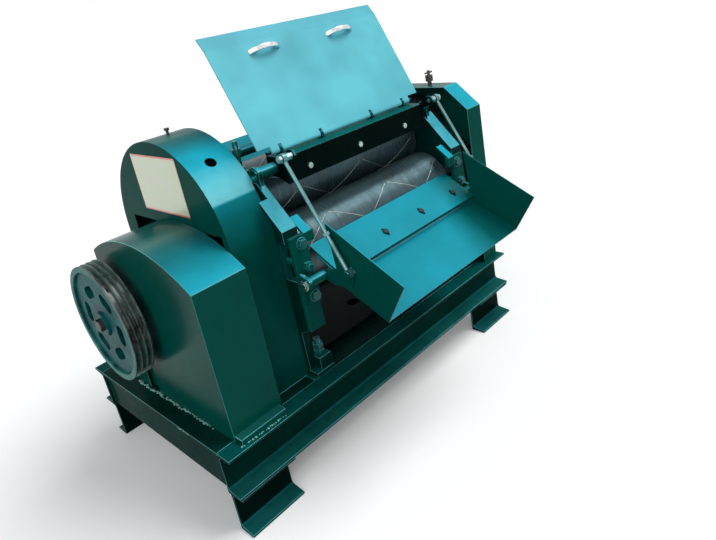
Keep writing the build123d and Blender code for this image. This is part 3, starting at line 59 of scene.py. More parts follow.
NODES = frame["nodes"]
BODIES = frame["record"]["behaviour"]["bodies"]
BODY_OF = {node: body for body, nodes in BODIES.items() for node in nodes}
BOXES = {node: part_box(node) for node in NODES}

# ------------------------------------------------------------------ places and measures

# Millimetres off the base's left end, its front edge and the floor, for place()
DECK = 240.3
# Beads on the deck: start, end, the way the bead faces, share of the bead's width, ripple in metres
DECK_WELDS = (
    ((206, 94), (328, 94), (0, -0.7, 0.7), 0.8, 0.008),
    ((201, 552), (201, 640), (0, 0, 1), 1.0, 0.009),
    ((50, 546), (198, 546), (0, 0, 1), 1.0, 0.009),
    ((397, 60), (397, 110), (0.7, 0, 0.7), 1.0, 0.009),
    ((964, 60), (964, 110), (-0.7, 0, 0.7), 1.0, 0.009),
)
FOOT_STARTS = (4, 1028)
FOOT_TOP = 120
FOOT_WELD = (3, 165)
# Side faces and end faces of the base, with the way each one faces
BASE_SIDES = ((0.5, -1), (749.5, 1))
BASE_ENDS = ((10, -1), (1190, 1))
END_WELD_DEPTHS = (53.5, 696.5)
END_WELD = (124, 230)
# Spatter: start, end, number of drops, largest drop in metres, random seed, stray in metres
SPATTER = (
    ((45, 534, 240.4), (51, 138, 240.4), 84, 0.0042, 5, 0.004),
    ((46, 17, 240.4), (180, 11, 240.4), 26, 0.0032, 8, 0.002),
    ((-0.2, 236, 238.5), (0.2, 178, 238.5), 9, 0.0026, 3, 0.0005),
)
# Washers at each cheek: depth, height and axis, at the front keepers, the rear keepers and the caps
WASHER_COLUMNS = (350, 1011)
WASHER_SPOTS = (
    (14, 645, (0, -1, 0)), (6, 501, (0, -1, 0)),
    (514, 645, (0, 1, 0)), (514, 501, (0, 1, 0)),
    (264, 818, (0, 0, 1)), (201, 818, (0, 0, 1)), (327, 818, (0, 0, 1)),
)

# Details, in metres
WASHER_RADIUS = 0.0145
WASHER_RIM = 0.0025
HANDLE_ROUNDING = 0.0035
SHEET_ROUNDING = 0.0008
CHUTE_ROUNDING = 0.001
NUT_ROUNDING = 0.0009
MERGE_DISTANCE = 0.000004
# Radians per metre of a swell that makes a bead's ripples uneven
UNEVEN_RIPPLE = 913.0

# Zigzags of grip beads: each roller's first row in degrees round it, legs in millimetres along it,
# and the radius of the beads' path in metres
GRIP_FIRST = {"front_roller": 146.0, "top_roller": 200.0, "rear_roller": 34.0}
GRIP_ROWS = 4
GRIP_LEGS = 5
GRIP_START = 386.0
GRIP_PITCH = 121.0
GRIP_LENGTH = 113.0
GRIP_SWING = 21.0
GRIP_STEPS = 14
GRIP_REACH = 0.0952

# Pulley, in metres: radii of its disc and its grooves, depth of its web, and how far the web moves out
PULLEY_DISC = 0.149
PULLEY_GROOVES = 0.1525
PULLEY_WEB = 0.017
WEB_SHIFT = -0.010

# Bare plate: widths in metres in from its edges
PLATE_MARGIN = 0.010
PLATE_LINE = 0.0045

# Stage: lengths in metres, camera's turn in radians, its lens and sensor in millimetres
FLOOR_SIZE = 60.0
FLOOR_DROP = -0.0005
WHITE = (1.0, 1.0, 1.0, 1.0)
BLACK = (0.0, 0.0, 0.0, 1.0)
PAPER_LIGHT = (0.2, 0.21, 0.21, 1.0)
PAPER_GLOW = (0.14, 0.14, 0.14, 1.0)
SKY_LIGHT = (0.86, 0.96, 1.0, 1.0)
SKY_STRENGTH = 0.28
# Name, direction towards the lamp, spread in degrees, strength and tint
LAMPS = (
    ("key", (0.45, -0.34, 0.84), 38.0, 2.0, (1.0, 1.0, 1.0)),
    ("fill", (-0.75, -0.45, 0.45), 60.0, 1.0, (1.0, 1.0, 0.98)),
)
CAMERA_SPOT = (-1.06405, -1.38089, 1.20909)
CAMERA_TURN = (1.220035, 0.164065, -0.833043)
CAMERA_LENS = 30.674
CAMERA_SENSOR = 36.0
CAMERA_SHIFT = (-0.0332, -0.0871)

# ------------------------------------------------------------------ sizes and colours


class MillPaint(bpy.types.PropertyGroup):
    """Colours of the main finishes"""

    enamel: bpy.props.FloatVectorProperty(
        name="Enamel", description="Paint on the covers, mill cheeks and chute", subtype="COLOR", size=3,
        default=(0.0005, 0.085, 0.068), min=0, max=1)
    # Painted light: a lighter, greyer tone on level tops stands for the light that falls on them from above
    lit_top_tone: bpy.props.FloatVectorProperty(
        name="Crown", description="Greyer tone of the enamel on level tops", subtype="COLOR", size=3,
        default=(0.018, 0.12, 0.11), min=0, max=1)
    # Painted reflection: bright tone on slopes that face up and forward, standing for the sky mirrored in the
    # glossy enamel
    film: bpy.props.FloatVectorProperty(
        name="Sheen", description="Bright tone of the enamel on slopes that face up and forward",
        subtype="COLOR", size=3, default=(0.014, 0.42, 0.56), min=0, max=1)
    # Painted reflection: the palest band of that mirrored sky
    pale: bpy.props.FloatVectorProperty(
        name="Pale sheen", description="Palest band of the sheen, low on the round roofs",
        subtype="COLOR", size=3, default=(0.19, 0.66, 0.74), min=0, max=1)
    # Painted shade: the darker tone of the base's upright faces stands for the shade under its flanges
    base: bpy.props.FloatVectorProperty(
        name="Base enamel", description="Darker paint on the sides of the base", subtype="COLOR", size=3,
        default=(0.0008, 0.036, 0.029), min=0, max=1)
    # Paler paint of the lid, lightened further as a painted reflection of the sky
    lid: bpy.props.FloatVectorProperty(
        name="Lid", description="Paler enamel of the swinging lid", subtype="COLOR", size=3,
        default=(0.16, 0.62, 0.72), min=0, max=1)
    # Painted highlight: lighter paint on folded and cut edges stands for the light they catch, with some worn
    # paint
    edge: bpy.props.FloatVectorProperty(
        name="Edges", description="Bright tone of the paint on folded and cut edges", subtype="COLOR", size=3,
        default=(0.16, 0.55, 0.53), min=0, max=1)
    # Iron colour with a teal tint that is a painted reflection of the green paint around the rollers
    roller: bpy.props.FloatVectorProperty(
        name="Roller iron", description="Turned iron of the rollers", subtype="COLOR", size=3,
        default=(0.08, 0.155, 0.18), min=0, max=1)
    plate: bpy.props.FloatVectorProperty(
        name="Blank plate", description="Cream enamel of the blank plate", subtype="COLOR", size=3,
        default=(0.86, 0.93, 0.62), min=0, max=1)
    border: bpy.props.FloatVectorProperty(
        name="Plate border", description="Line along the blank plate's top and bottom",
        subtype="COLOR", size=3, default=(0.85, 0.16, 0.09), min=0, max=1)


class MillSizes(bpy.types.PropertyGroup):
    """Sizes of the added details"""

    edge: bpy.props.FloatProperty(
        name="Edge", description="Rounding of rolled and cut steel edges", subtype="DISTANCE", unit="LENGTH",
        default=0.0014, min=0.0001, max=0.01)
    bead: bpy.props.FloatProperty(
        name="Weld bead", description="Half the width of a weld bead", subtype="DISTANCE", unit="LENGTH",
        default=0.0035, min=0.0005, max=0.02)
    grip_bead: bpy.props.FloatProperty(
        name="Grip bead", description="Half the width of the beads laid on the rollers", subtype="DISTANCE",
        unit="LENGTH", default=0.0015, min=0.0005, max=0.01)
    washer: bpy.props.FloatProperty(
        name="Washer", description="Half the thickness of the washers", subtype="DISTANCE", unit="LENGTH",
        default=0.0015, min=0.0005, max=0.01)


# ------------------------------------------------------------------ shader groups and materials


def new_group(name, inputs, outputs):
    """Empty shader group with the named sockets, given as name: (kind, default)."""
    group = bpy.data.node_groups.new(name, "ShaderNodeTree")
    for label, (kind, value) in inputs.items():
        socket = group.interface.new_socket(label, in_out="INPUT", socket_type=kind)
        if value is not None:
            socket.default_value = value
    for label, kind in outputs.items():
        group.interface.new_socket(label, in_out="OUTPUT", socket_type=kind)
    return group, group.nodes.new("NodeGroupInput"), group.nodes.new("NodeGroupOutput")


def wire(tree, kind, settings=None, **links):
    """Adds a node, sets its properties, and feeds its inputs by name, or by number as i0, i1 and so on."""
    node = tree.nodes.new(kind)
    for key, value in (settings or {}).items():
        setattr(node, key, value)
    for key, value in links.items():
        numbered = key[0] == "i" and key[1:].isdigit()
        socket = node.inputs[int(key[1:]) if numbered else key.replace("_", " ")]
        if isinstance(value, bpy.types.NodeSocket):
            tree.links.new(value, socket)
        else:
            socket.default_value = value
    return node


def maths(tree, operation, first, second=0.0, clamp=False):
    """Sum, product or other operation on two numbers."""
    settings = {"operation": operation, "use_clamp": clamp}
    return wire(tree, "ShaderNodeMath", settings, i0=first, i1=second).outputs[0]


def blended(tree, factor, first, second):
    """First colour at factor 0, second at 1."""
    return wire(tree, "ShaderNodeMix", {"data_type": "RGBA"}, i0=factor, i6=first, i7=second).outputs[2]


def noise(tree, vector, scale, detail=3.0, rough=0.5):
    """Cloudy pattern from about 0.3 to 0.7, with so many clouds a metre."""
    node = wire(tree, "ShaderNodeTexNoise", Vector=vector, Scale=scale, Detail=detail, Roughness=rough)
    return node.outputs[0]


def scaled(tree, vector, factors):
    """Vector with each axis multiplied by its own factor."""
    return wire(tree, "ShaderNodeVectorMath", {"operation": "MULTIPLY"}, i0=vector, i1=factors).outputs[0]


def ranged(tree, value, low, high, to_low=0.0, to_high=1.0):
    """Maps low to to_low and high to to_high, and stays there beyond them."""
    return wire(tree, "ShaderNodeMapRange", i0=value, i1=low, i2=high, i3=to_low, i4=to_high).outputs[0]


COLOUR, FLOAT = "NodeSocketColor", "NodeSocketFloat"


def ramp(tree, value, stops):
    """Grey ramp through (position, grey) stops."""
    node = wire(tree, "ShaderNodeValToRGB", Fac=value)
    for index, (position, grey) in enumerate(stops):
        stop = node.color_ramp.elements[index] if index < 2 else node.color_ramp.elements.new(position)
        stop.position = position
        stop.color = (grey, grey, grey, 1.0)
    return node.outputs[0]


# Strength of each painted reflection tone by lean: 0 is a level face, 1 an upright one that faces forward
SHEEN = ((0.0, 0.0), (0.09, 0.1), (0.2, 0.3), (0.28, 0.62), (0.34, 0.95), (0.42, 1.0), (0.69, 1.0),
         (0.71, 0.42), (0.8, 0.2), (1.0, 0.0))
PALE_REFLECTION_BAND = ((0.45, 0.0), (0.64, 0.9), (0.69, 1.0), (0.705, 0.0))
# Painted highlight: a grey streak on faces just off level
STREAK = ((0.02, 0.0), (0.085, 0.8), (0.14, 0.1), (0.2, 0.0))
PAINTED_HIGHLIGHT_TONE = (0.16, 0.3, 0.25, 1.0)
GRIME_TONE = (0.002, 0.012, 0.01, 1.0)
# The painted reflection of the sky ends along a slanting line on the chute, where the dark wall is mirrored
# instead: its slant, its width in metres and what stays past it
FADE_SLANT = -0.27
FADE_WIDTH = 0.11
FADE_FLOOR = 0.13
NO_FADE = 9.0
# Streaks per metre along each axis: drawn metal, and iron turned about the rollers' axis
METAL_GRAIN = (4.0, 400.0, 400.0)
TURNING = (300.0, 9.0, 9.0)


def enamel_group():
    """Sprayed enamel: painted light, shade and reflection by how far a face leans forward, cloudy spray,
    grime and orange peel.
    """
    group, given, out = new_group(
        "enamel_with_painted_light",
        {"Side": (COLOUR, None), "Top": (COLOUR, None), "Film": (COLOUR, None), "Pale": (COLOUR, None),
         "Amount": (FLOAT, 1.0), "Lean": (FLOAT, 0.0), "Fade": (FLOAT, NO_FADE), "Cloud": (FLOAT, 0.2),
         "Grime": (FLOAT, 0.3), "Gloss": (FLOAT, 0.25)},
        {"Color": COLOUR, "Roughness": FLOAT, "Height": FLOAT})
    place = group.nodes.new("ShaderNodeTexCoord")
    normal = wire(group, "ShaderNodeSeparateXYZ", i0=place.outputs["Normal"])
    point = wire(group, "ShaderNodeSeparateXYZ", i0=place.outputs["Object"])
    cloud = noise(group, place.outputs["Object"], 6.0, 2.0)
    patch = noise(group, place.outputs["Object"], 32.0, 5.0, 0.62)
    fine = noise(group, place.outputs["Object"], 420.0, 2.0)

    forward = maths(group, "MULTIPLY", normal.outputs["Y"], -1.0)
    lean = maths(group, "ARCTAN2", forward, normal.outputs["Z"])
    lean = maths(group, "MULTIPLY", lean, 2 / math.pi)
    lean = maths(group, "ADD", lean, given.outputs["Lean"])
    ahead = ranged(group, maths(group, "ABSOLUTE", normal.outputs["X"]), 0.75, 0.4)
    # The painted reflection fades past a slanting line
    slanted = maths(group, "MULTIPLY", point.outputs["Y"], FADE_SLANT)
    reach = maths(group, "ADD", point.outputs["X"], slanted)
    past = maths(group, "SUBTRACT", reach, given.outputs["Fade"])
    fade = ranged(group, past, 0.0, FADE_WIDTH, 1.0, FADE_FLOOR)
    amount = maths(group, "MULTIPLY", maths(group, "MULTIPLY", ahead, fade), given.outputs["Amount"])
    amount = maths(group, "MULTIPLY", amount, ranged(group, cloud, 0.3, 0.7, 0.86, 1.0))
    # Painted light and shade: level tops take the Top tone and upright faces the darker Side tone
    level = ranged(group, normal.outputs["Z"], 0.55, 0.95)

    tone = blended(group, level, given.outputs["Side"], given.outputs["Top"])
    # Painted reflection bands by lean: the sheen, its pale band, and a grey highlight streak near level
    bands = ((SHEEN, 1.0, given.outputs["Film"]), (PALE_REFLECTION_BAND, 1.0, given.outputs["Pale"]),
             (STREAK, 0.6, PAINTED_HIGHLIGHT_TONE))
    for stops, strength, colour in bands:
        share = maths(group, "MULTIPLY", ramp(group, lean, stops), maths(group, "MULTIPLY", amount, strength))
        tone = blended(group, share, tone, colour)
    spray = ranged(group, cloud, 0.3, 0.7, -0.5, 0.5)
    spray = maths(group, "ADD", maths(group, "MULTIPLY", spray, given.outputs["Cloud"]), 1.0)
    tone = wire(group, "ShaderNodeVectorMath", {"operation": "SCALE"}, i0=tone, i3=spray).outputs[0]
    shade = maths(group, "MULTIPLY", ranged(group, patch, 0.5, 0.8), given.outputs["Grime"])
    tone = blended(group, shade, tone, GRIME_TONE)
    group.links.new(tone, out.inputs["Color"])
    worn = ranged(group, patch, 0.3, 0.8, -0.03, 0.1)
    rough = maths(group, "ADD", given.outputs["Gloss"], worn)
    group.links.new(rough, out.inputs["Roughness"])
    height = maths(group, "ADD", maths(group, "MULTIPLY", fine, 0.12), cloud)
    group.links.new(height, out.inputs["Height"])
    return group


def metal_group():
    """Worked metal with its grain along the rollers' axis, and oil stains."""
    group, given, out = new_group(
        "worked_metal",
        {"Metal": (COLOUR, None), "Stain": (COLOUR, None), "Stain Amount": (FLOAT, 0.5),
         "Rough": (FLOAT, 0.35)},
        {"Color": COLOUR, "Roughness": FLOAT, "Height": FLOAT})
    place = group.nodes.new("ShaderNodeTexCoord").outputs["Object"]
    grain = noise(group, scaled(group, place, METAL_GRAIN), 1.0, 2.0)
    stain = noise(group, place, 18.0, 6.0, 0.65)
    amount = maths(group, "MULTIPLY", ranged(group, stain, 0.42, 0.68), given.outputs["Stain Amount"])
    tone = blended(group, amount, given.outputs["Metal"], given.outputs["Stain"])
    tone = blended(group, ranged(group, grain, 0.35, 0.65, 0.0, 0.35), tone, (0.02, 0.02, 0.02, 1.0))
    group.links.new(tone, out.inputs["Color"])
    rough = maths(group, "ADD", given.outputs["Rough"], maths(group, "MULTIPLY", amount, 0.3))
    rough = maths(group, "ADD", rough, ranged(group, grain, 0.3, 0.7, -0.05, 0.1))
    group.links.new(rough, out.inputs["Roughness"])
    group.links.new(maths(group, "ADD", grain, maths(group, "MULTIPLY", stain, 0.5)), out.inputs["Height"])
    return group


def group_node(tree, group, values):
    """Group in a material's tree, with its colours and numbers set by input name."""
    node = tree.nodes.new("ShaderNodeGroup")
    node.node_tree = group
    for key, value in values.items():
        node.inputs[key].default_value = (*value, 1.0) if node.inputs[key].type == "RGBA" else value
    return node


def material(name, group, values, metallic=0.0, bump=0.1, distance=0.001, specular=0.5):
    """Principled material fed by one of the shader groups."""
    made = bpy.data.materials.new(name)
    made.use_nodes = True
    tree = made.node_tree
    shader = tree.nodes["Principled BSDF"]
    shader.inputs["Metallic"].default_value = metallic
    shader.inputs["Specular IOR Level"].default_value = specular
    source = group_node(tree, group, values)
    tree.links.new(source.outputs["Color"], shader.inputs["Base Color"])
    tree.links.new(source.outputs["Roughness"], shader.inputs["Roughness"])
    raised = wire(tree, "ShaderNodeBump", Strength=bump, Distance=distance, Height=source.outputs["Height"])
    tree.links.new(raised.outputs[0], shader.inputs["Normal"])
    made.diffuse_color = (*list(values.values())[0], 1.0)
    return made


def blank_plate_material(paint):
    """Cream enamel under clear film, with a pinkish margin and a red line along the top and bottom."""
    low, high = BOXES["label_plate"]
    made = bpy.data.materials.new("blank_plate")
    made.use_nodes = True
    tree = made.node_tree
    shader = tree.nodes["Principled BSDF"]
    shader.inputs["Roughness"].default_value = 0.35
    shader.inputs["Coat Weight"].default_value = 1.0
    shader.inputs["Coat Roughness"].default_value = 0.12
    place = tree.nodes.new("ShaderNodeTexCoord").outputs["Object"]
    split = wire(tree, "ShaderNodeSeparateXYZ", i0=place)
    inside = []
    for axis, output in ((1, "Y"), (2, "Z")):
        middle = (low[axis] + high[axis]) / 2
        away = maths(tree, "ABSOLUTE", maths(tree, "SUBTRACT", split.outputs[output], middle))
        inside.append(maths(tree, "SUBTRACT", (high[axis] - low[axis]) / 2, away))
    reach = maths(tree, "MINIMUM", inside[0], inside[1])
    margin = ranged(tree, reach, PLATE_MARGIN - 0.001, PLATE_MARGIN + 0.001, 1.0, 0.0)
    line = ranged(tree, inside[1], PLATE_LINE - 0.001, PLATE_LINE + 0.001, 1.0, 0.0)
    wash = ranged(tree, noise(tree, place, 16.0, 3.0, 0.6), 0.4, 0.65, 0.0, 0.5)
    tone = blended(tree, wash, (*paint.plate, 1.0), (0.9, 0.93, 0.8, 1.0))
    tone = blended(tree, margin, tone, (1.0, 0.85, 0.62, 1.0))
    tone = blended(tree, line, tone, (*paint.border, 1.0))
    dirt = ranged(tree, noise(tree, place, 60.0, 6.0, 0.7), 0.55, 0.8, 0.0, 0.3)
    tone = blended(tree, dirt, tone, (0.5, 0.5, 0.36, 1.0))
    tree.links.new(tone, shader.inputs["Base Color"])
    return made


def turned_iron_material(name, colour, pitch, metallic, rough):
    """Turned iron whose tool marks run round the rollers' axis."""
    made = bpy.data.materials.new(name)
    made.use_nodes = True
    tree = made.node_tree
    shader = tree.nodes["Principled BSDF"]
    shader.inputs["Metallic"].default_value = metallic
    shader.inputs["Specular IOR Level"].default_value = 0.3
    place = tree.nodes.new("ShaderNodeTexCoord").outputs["Object"]
    along = wire(tree, "ShaderNodeSeparateXYZ", i0=place).outputs["X"]
    marks = maths(tree, "SINE", maths(tree, "MULTIPLY", along, 2 * math.pi / pitch))
    streak = noise(tree, scaled(tree, place, TURNING), 1.0, 3.0)
    smear = noise(tree, place, 9.0, 4.0, 0.6)
    dark = tuple(channel * 0.4 for channel in colour)
    tone = blended(tree, ranged(tree, streak, 0.3, 0.7), (*colour, 1.0), (*dark, 1.0))
    tone = blended(tree, ranged(tree, smear, 0.45, 0.75, 0.0, 0.6), tone, (0.035, 0.045, 0.045, 1.0))
    tree.links.new(tone, shader.inputs["Base Color"])
    tree.links.new(ranged(tree, streak, 0.3, 0.7, rough - 0.08, rough + 0.12), shader.inputs["Roughness"])
    height = maths(tree, "ADD", maths(tree, "MULTIPLY", marks, 0.5), streak)
    raised = wire(tree, "ShaderNodeBump", Strength=0.35, Distance=0.0006, Height=height)
    tree.links.new(raised.outputs[0], shader.inputs["Normal"])
    return made


def pulley_material():
    """Cast pulley: painted disc, paler turned rim face, and bare worn grooves."""
    low, high = BOXES["drive_pulley"]
    middle = (low + high) / 2
    made = bpy.data.materials.new("painted_pulley")
    made.use_nodes = True
    tree = made.node_tree
    shader = tree.nodes["Principled BSDF"]
    shader.inputs["Specular IOR Level"].default_value = 0.04
    place = tree.nodes.new("ShaderNodeTexCoord")
    offset = wire(tree, "ShaderNodeVectorMath", {"operation": "SUBTRACT"},
                  i0=place.outputs["Object"], i1=middle)
    flat = scaled(tree, offset.outputs[0], (0.0, 1.0, 1.0))
    radius = wire(tree, "ShaderNodeVectorMath", {"operation": "LENGTH"}, i0=flat).outputs["Value"]
    facing = wire(tree, "ShaderNodeSeparateXYZ", i0=place.outputs["Normal"])
    across = maths(tree, "ABSOLUTE", facing.outputs["X"])
    mottle = noise(tree, place.outputs["Object"], 26.0, 5.0, 0.65)
    rust = noise(tree, place.outputs["Object"], 90.0, 4.0, 0.6)
    cloud = ranged(tree, mottle, 0.4, 0.65)
    disc = blended(tree, cloud, (0.001, 0.06, 0.065, 1.0), (0.006, 0.16, 0.165, 1.0))
    disc = blended(tree, ranged(tree, rust, 0.56, 0.7, 0.0, 0.7), disc, (0.08, 0.1, 0.11, 1.0))
    rim = blended(tree, cloud, (0.03, 0.17, 0.145, 1.0), (0.08, 0.3, 0.25, 1.0))
    tone = blended(tree, ranged(tree, radius, PULLEY_DISC - 0.0005, PULLEY_DISC + 0.0005), disc, rim)
    bare = ranged(tree, mottle, 0.35, 0.6)
    groove = blended(tree, bare, (0.035, 0.026, 0.024, 1.0), (0.15, 0.135, 0.14, 1.0))
    outside = ranged(tree, radius, PULLEY_GROOVES - 0.0005, PULLEY_GROOVES + 0.0005)
    worn = maths(tree, "MULTIPLY", ranged(tree, across, 0.97, 0.9), outside)
    tone = blended(tree, worn, tone, groove)
    tree.links.new(tone, shader.inputs["Base Color"])
    tree.links.new(maths(tree, "MULTIPLY", worn, 0.55), shader.inputs["Metallic"])
    tree.links.new(ranged(tree, rust, 0.3, 0.7, 0.28, 0.42), shader.inputs["Roughness"])
    raised = wire(tree, "ShaderNodeBump", Strength=0.3, Distance=0.001, Height=mottle)
    tree.links.new(raised.outputs[0], shader.inputs["Normal"])
    return made


def make_materials():
    """Every finish by its short name."""
    paint = bpy.context.scene.mill_paint
    enamel, metal = enamel_group(), metal_group()

    def painted(name, side, top, bump=0.1, specular=0.05, **values):
        tones = {"Side": side, "Top": top, "Film": paint.film, "Pale": paint.pale}
        return material(name, enamel, {**tones, **values}, bump=bump, distance=0.0012, specular=specular)

    def worked(name, bare, stain, amount, rough, metallic=1.0, bump=0.1, specular=0.5):
        values = {"Metal": bare, "Stain": stain, "Stain Amount": amount, "Rough": rough}
        return material(name, metal, values, metallic=metallic, bump=bump, specular=specular)

    # In each enamel, Side is a painted shade for upright faces and Top a painted light for level tops
    return {
        "enamel": painted("teal_enamel", paint.enamel, paint.lit_top_tone, specular=0.018,
                          Cloud=0.25, Grime=0.12, Gloss=0.2),
        "cover_enamel": painted("cover_enamel", paint.enamel, (0.008, 0.1, 0.092), specular=0.042,
                                Cloud=0.2, Grime=0.1, Gloss=0.2),
        # Cheeks: darker upright tone, a painted shade on the housings
        "shaded_cheek_enamel": painted("shaded_cheek_enamel", (0.0004, 0.03, 0.025), (0.002, 0.12, 0.11), specular=0.02,
                                Cloud=0.3, Grime=0.3, Gloss=0.24),
        # Chute and scraper: a painted reflection of the sky on their floors, fading towards the right
        "chute_enamel": painted("chute_enamel", paint.enamel, paint.enamel, bump=0.05, Cloud=0.12, Grime=0.05,
                                Gloss=0.24, Amount=0.8, Lean=0.1, Fade=0.3),
        "scraper": painted("scraper_plate", paint.enamel, paint.enamel, bump=0.05, Cloud=0.12, Grime=0.05,
                           Gloss=0.26, Amount=0.85, Lean=0.05, Fade=0.34),
        # Base: darker upright faces as painted shade, lighter tops as painted light
        "base_enamel": painted("base_enamel", paint.base, (0.0015, 0.088, 0.082), bump=0.2, specular=0.01,
                               Cloud=0.5, Grime=0.4, Gloss=0.3, Amount=0.1),
        # Feet: darker tones, a painted shade from the base above them
        "shaded_foot_enamel": painted("shaded_foot_enamel", (0.0006, 0.012, 0.01), (0.0015, 0.085, 0.085), bump=0.2,
                               specular=0.01, Cloud=0.4, Grime=0.4, Gloss=0.3, Amount=0.1),
        "deck_enamel": painted("deck_enamel", paint.base, (0.002, 0.04, 0.034), bump=0.25, specular=0.01,
                               Cloud=0.6, Grime=0.6, Gloss=0.3, Amount=0.1),
        "green_steel": painted("dark_painted_steel", (0.0005, 0.045, 0.038), (0.002, 0.11, 0.11), bump=0.2,
                               Cloud=0.4, Grime=0.4, Gloss=0.28, Amount=0.8),
        # Guard: near-black upright leg as painted shade, lighter top
        "guard_shaded_enamel": painted("guard_shaded_enamel", (0.0003, 0.0065, 0.0055), (0.0015, 0.11, 0.1), bump=0.15,
                                specular=0.01, Cloud=0.3, Grime=0.2, Gloss=0.26, Amount=0.3),
        # Lid: pale face tone and darker lip tone by lean, a painted reflection of the sky on the glossy sheet
        "lid_sheen_enamel": painted("lid_sheen_enamel", paint.lid, paint.lid, bump=0.04, specular=0.1, Cloud=0.26,
                              Grime=0.0, Gloss=0.3, Film=(0.02, 0.36, 0.48), Pale=paint.lid,
                              Amount=0.95, Lean=-0.02),
        # Edge tones for the bevel faces: painted highlights along the edges, partly worn paint
        "edge": painted("edge_highlight_enamel", (0.03, 0.22, 0.2), paint.edge, specular=0.2,
                        Cloud=0.5, Grime=0.5, Gloss=0.25, Amount=0.8),
        "dark_edge_highlight": painted("dark_edge_enamel", (0.012, 0.19, 0.18), (0.05, 0.33, 0.32), specular=0.3,
                             Cloud=0.6, Grime=0.7, Gloss=0.28, Amount=0.2),
        "weld": painted("painted_weld", (0.01, 0.16, 0.15), (0.02, 0.2, 0.19), bump=0.3, specular=0.4,
                        Cloud=0.3, Grime=0.4, Gloss=0.22, Amount=0.6),
        "spatter": painted("bright_spatter", (0.16, 0.42, 0.36), (0.3, 0.6, 0.52), bump=0.3, specular=0.5,
                           Cloud=0.4, Grime=0.6, Gloss=0.2, Amount=0.3),
        "fastener": painted("painted_fastener", (0.002, 0.1, 0.095), (0.01, 0.2, 0.19), bump=0.2,
                            specular=0.3, Cloud=0.4, Grime=0.5, Gloss=0.26, Amount=0.7),
        # Juice pan and drain pipe painted near black, a painted shade for the space under the chute
        "pan": painted("pan_shade_enamel", (0.0005, 0.01, 0.009), (0.001, 0.016, 0.015), specular=0.01,
                       Cloud=0.4, Grime=0.5, Gloss=0.35, Amount=0.0),
        "dark_steel": worked("oiled_steel", (0.07, 0.08, 0.08), (0.015, 0.02, 0.018), 0.7, 0.38,
                             metallic=0.8, bump=0.2),
        "rod": worked("stay_rod", (0.16, 0.36, 0.37), (0.02, 0.1, 0.1), 0.6, 0.25, metallic=0.7),
        "bright_steel": worked("bright_steel", (0.5, 0.58, 0.56), (0.12, 0.2, 0.19), 0.4, 0.25),
        "grip": worked("grip_weld", (0.42, 0.47, 0.44), (0.1, 0.14, 0.14), 0.6, 0.35, metallic=0.8, bump=0.2),
        "chrome": worked("chrome_plate", (0.86, 0.88, 0.9), (0.6, 0.62, 0.62), 0.1, 0.05, bump=0.01),
        "bronze": worked("bearing_bronze", (0.5, 0.33, 0.14), (0.12, 0.08, 0.04), 0.6, 0.35),
        "brass": worked("dull_brass", (0.09, 0.1, 0.085), (0.03, 0.04, 0.035), 0.6, 0.35, metallic=0.8),
        "black_steel": worked("black_steel", (0.02, 0.03, 0.03), (0.006, 0.01, 0.01), 0.6, 0.35,
                              metallic=0.2, specular=0.2),
        # Roller iron tinted teal: partly a painted reflection
        "roller": turned_iron_material("turned_roller_iron", tuple(paint.roller), 0.0028, 0.5, 0.3),
        "pulley": pulley_material(),
        "plate": blank_plate_material(paint),
    }


# Nodes by the short name of their finish
FINISH = {
    "base_enamel": ("front_beam", "rear_beam", "end_channels", "cross_beams"),
    "shaded_foot_enamel": ("feet",),
    "deck_enamel": ("deck_plates",),
    "enamel": ("front_bearings", "rear_bearings", "top_bearings", "front_keepers", "rear_keepers",
               "outer_bearing_plate", "inner_bearing_plate", "flange_bearing", "main_gear_cover",
               "roller_gear_cover", "front_tie_tube", "rear_tie_tube", "feed_tray"),
    "cover_enamel": ("small_gear_cover",),
    "shaded_cheek_enamel": ("left_housing", "right_housing"),
    "green_steel": ("top_caps", "guard_plate"),
    "guard_shaded_enamel": ("guard_angle",),
    "chute_enamel": ("discharge_chute",),
    "scraper": ("scraper_plate",),
    "lid_sheen_enamel": ("lid",),
    "chrome": ("lid_handles",),
    "bronze": ("bearing_bushes", "shaft_bushes"),
    "brass": ("cover_oiler", "oil_cup"),
    "pan": ("juice_pan", "drain_pipe"),
    "plate": ("label_plate",),
    "roller": ("top_roller", "front_roller", "rear_roller"),
    "pulley": ("drive_pulley",),
    "dark_steel": ("turn_plate", "input_shaft", "intermediate_shaft", "first_gear", "main_gear",
                   "top_roller_gear", "front_roller_gear", "rear_roller_gear"),
    "black_steel": ("scraper_bolts",),
    "rod": ("left_stay_rod", "right_stay_rod", "left_stay_sleeve", "right_stay_sleeve"),
    "fastener": ("adjusting_screws", "lock_nuts", "keeper_bolts", "housing_bolts", "cap_studs"),
    "bright_steel": ("guard_bolts", "pivot_bolts"),
}
# Filled by the finishes operator
MATERIALS = {}


# ------------------------------------------------------------------ modelling helpers


def only(obj):
    """Selects one object and makes it the active one."""
    bpy.ops.object.select_all(action="DESELECT")
    obj.select_set(True)
    bpy.context.view_layer.objects.active = obj


def apply_modifier(obj, kind, **settings):
    """Adds a modifier with these settings and applies it."""
    only(obj)
    modifier = obj.modifiers.new(kind.lower(), kind)
    for key, value in settings.items():
        setattr(modifier, key, value)
    bpy.ops.object.modifier_apply(modifier=modifier.name)


def settle(obj, name, body, finish):
    """Applies a new piece's place, names it, gives it its finish and slot and hangs it on its body."""
    only(obj)
    bpy.ops.object.transform_apply(location=True, rotation=True, scale=True)
    obj.name = name
    obj.data.name = name
    obj.data.materials.clear()
    obj.data.materials.append(MATERIALS[finish])
    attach(obj, body)


def joined(pieces):
    """One object made of all the pieces."""
    bpy.ops.object.select_all(action="DESELECT")
    for piece in pieces:
        piece.select_set(True)
    bpy.context.view_layer.objects.active = pieces[0]
    bpy.ops.object.join()
    return pieces[0]


